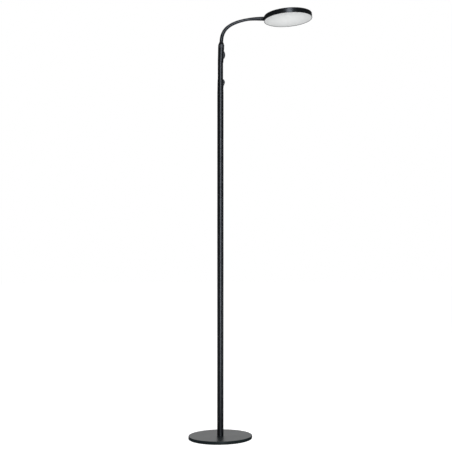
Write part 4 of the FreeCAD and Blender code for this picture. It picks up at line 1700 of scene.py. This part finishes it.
@dataclass(frozen=True)
class Softbox:
    """A rectangular soft lamp: its place, what it faces, its size and its power."""

    name: str
    place: tuple[float, float, float]
    target: tuple[float, float, float]
    size: Point2
    watts: float
    mirrored: bool = True

    def build(self) -> None:
        """Hang the lamp."""
        light = bpy.data.lights.new(self.name, "AREA")
        light.shape = "RECTANGLE"
        light.size, light.size_y = self.size
        light.energy = self.watts
        lamp = linked(self.name, light)
        lamp.location = self.place
        aim = Vector(self.target) - Vector(self.place)
        lamp.rotation_euler = aim.to_track_quat("-Z", "Y").to_euler()
        lamp.visible_camera = False
        lamp.visible_glossy = self.mirrored


@dataclass
class Studio:
    """Pale floor, soft lamps, white surroundings and the camera."""

    floor_radius: float = 40.0
    floor_drop: float = 0.1 * MM
    floor_segments: int = 64
    behind_from: float = 0.4
    behind_to: float = 1.5
    floor_colour: float = 0.62
    floor_glow: float = 0.80
    floor_mirrored: float = 0.05
    ambient: float = 0.36
    dim_side: float = 0.055
    backdrop_height: float = math.radians(25)
    white_from: float = 0.90
    white_to: float = 0.97
    camera_place: tuple[float, float, float] = (0.178, -2.8907, 0.5701)
    camera_pitch: float = math.radians(3.143)
    camera_roll: float = math.radians(-0.181)
    picture_shift: Point2 = (-45.65, -0.16)
    focal_pixels: float = 833.7
    frame_pixels: float = 452.0
    sensor: float = 36.0
    lamps: tuple[Softbox, ...] = (
        Softbox("front_softbox", (0.349, -1.41, 1.07), (0.08, 0, 1.07), (0.5, 2.1), 21),
        Softbox("top_softbox", (0.1, 0.2, 3.6), (0.1, 0.2, 0.0), (3.2, 3.2), 26),
        Softbox("bounce_panel", (0.2, 0.0, 0.001), (0.2, 0.0, 1.0), (1.8, 1.8), 18, mirrored=False),
    )

    def backdrop(self, shader: ShaderTree, along: Field) -> Field:
        """How much of the white backdrop a ray shows.

        The camera and clear materials see it everywhere. Glossy surfaces see it
        behind the lamp, where it hangs, and the dim room elsewhere.

        Args:
            shader: Tree that the mask is made in.
            along: 1 where a ray ends on the backdrop, 0 where it doesn't.

        Returns:
            The mask.
        """
        seen = shader.ray("Camera") + shader.ray("Transmission") + shader.ray("Glossy") * along
        return seen.maths("MINIMUM", seen, 1.0)

    def floor(self) -> None:
        """White floor that keeps the lamp's soft shadow."""
        floor = turned("floor", [Corner(0.0, -self.floor_drop),
                                 Corner(self.floor_radius, -self.floor_drop)], self.floor_segments)
        material = bpy.data.materials.new("white_floor")
        shader = ShaderTree(material)
        split = shader.node("ShaderNodeSeparateXYZ", None, {0: shader.place()}, "Y")
        behind = shader.smooth_step(split, self.behind_from, self.behind_to)
        tone = self.floor_colour
        paint = shader.node("ShaderNodeBsdfDiffuse", None, {"Color": (tone, tone, tone, 1.0)})
        glow = shader.node("ShaderNodeEmission", None, {"Strength": self.floor_glow})
        shown = shader.node("ShaderNodeAddShader", None, {0: paint, 1: glow})
        faint = shader.node("ShaderNodeEmission", None, {"Strength": self.floor_mirrored})
        dim = shader.node("ShaderNodeMixShader", None, {0: shader.ray("Glossy"), 1: paint, 2: faint})
        mixed = shader.node("ShaderNodeMixShader", None,
                            {0: self.backdrop(shader, behind), 1: dim, 2: shown})
        shader.node("ShaderNodeOutputMaterial", None, {"Surface": mixed})
        floor.data.materials.append(material)

    def world(self) -> None:
        """White surroundings for the camera, and soft studio light for the lamp."""
        world = bpy.data.worlds.new("studio")
        bpy.context.scene.world = world
        shader = ShaderTree(world)
        ray = shader.node("ShaderNodeTexCoord", output="Generated")
        middle = (0.0, math.cos(self.backdrop_height), math.sin(self.backdrop_height))
        nearness = shader.node("ShaderNodeVectorMath", {"operation": "DOT_PRODUCT"},
                               {0: ray, 1: middle}, "Value")
        white = self.backdrop(shader, shader.smooth_step(nearness, self.white_from, self.white_to))
        room = self.ambient + shader.ray("Glossy") * (self.dim_side - self.ambient)
        level = white + (1 - white) * room
        sky = shader.node("ShaderNodeBackground", None, {"Color": (1, 1, 1, 1), "Strength": level})
        shader.node("ShaderNodeOutputWorld", None, {"Surface": sky})

    def camera(self) -> None:
        """Camera at the height and pitch that show the lamp as it is seen."""
        data = bpy.data.cameras.new("camera")
        data.sensor_width = self.sensor
        data.lens = self.focal_pixels / self.frame_pixels * self.sensor
        camera = linked("camera", data)
        camera.location = self.camera_place
        raised = Matrix.Rotation(QUARTER_TURN + self.camera_pitch, 4, "X")
        camera.rotation_euler = (raised @ Matrix.Rotation(self.camera_roll, 4, "Z")).to_euler()
        data.shift_x, data.shift_y = [shift / self.frame_pixels for shift in self.picture_shift]
        bpy.context.scene.camera = camera

    def build(self) -> None:
        """Set up the whole studio."""
        self.floor()
        self.world()
        for lamp in self.lamps:
            lamp.build()
        self.camera()
        bpy.context.scene.view_settings.view_transform = "Standard"


def dress_inner_leads() -> None:
    """Finish the wiring and the guide bush inside the pole."""
    dress_solids(LEAD_SKIN, "lower_lead", "coil_lead", "upper_lead")
    dress_solids(GLIDE_PLASTIC, "tube_glide")
    dress_solids(PLATED_STEEL, "joint_insert")
    dress_solids(POLE_COAT, "joint_stud")


def main() -> None:
    """Build every sub-assembly in order, then the studio."""
    logging.basicConfig(level=logging.INFO, format="%(name)s: %(message)s")
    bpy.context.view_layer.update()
    Base().build()
    Tube("lower_pole_tube", "lower_pole", 0.8 * MM, Body.STAND).build()
    Tube("upper_pole_tube", "upper_pole", 0.8 * MM, Body.STAND).build()
    Tube("sliding_tube", "inner_tube", 1.0 * MM, Body.MAST).build()
    PowerInlet().build()
    HeightCollar().build()
    SwitchHousing().build()
    Gooseneck().build()
    LampHead().build()
    dress_inner_leads()
    Studio().build()


if __name__ == "__main__":
    main()
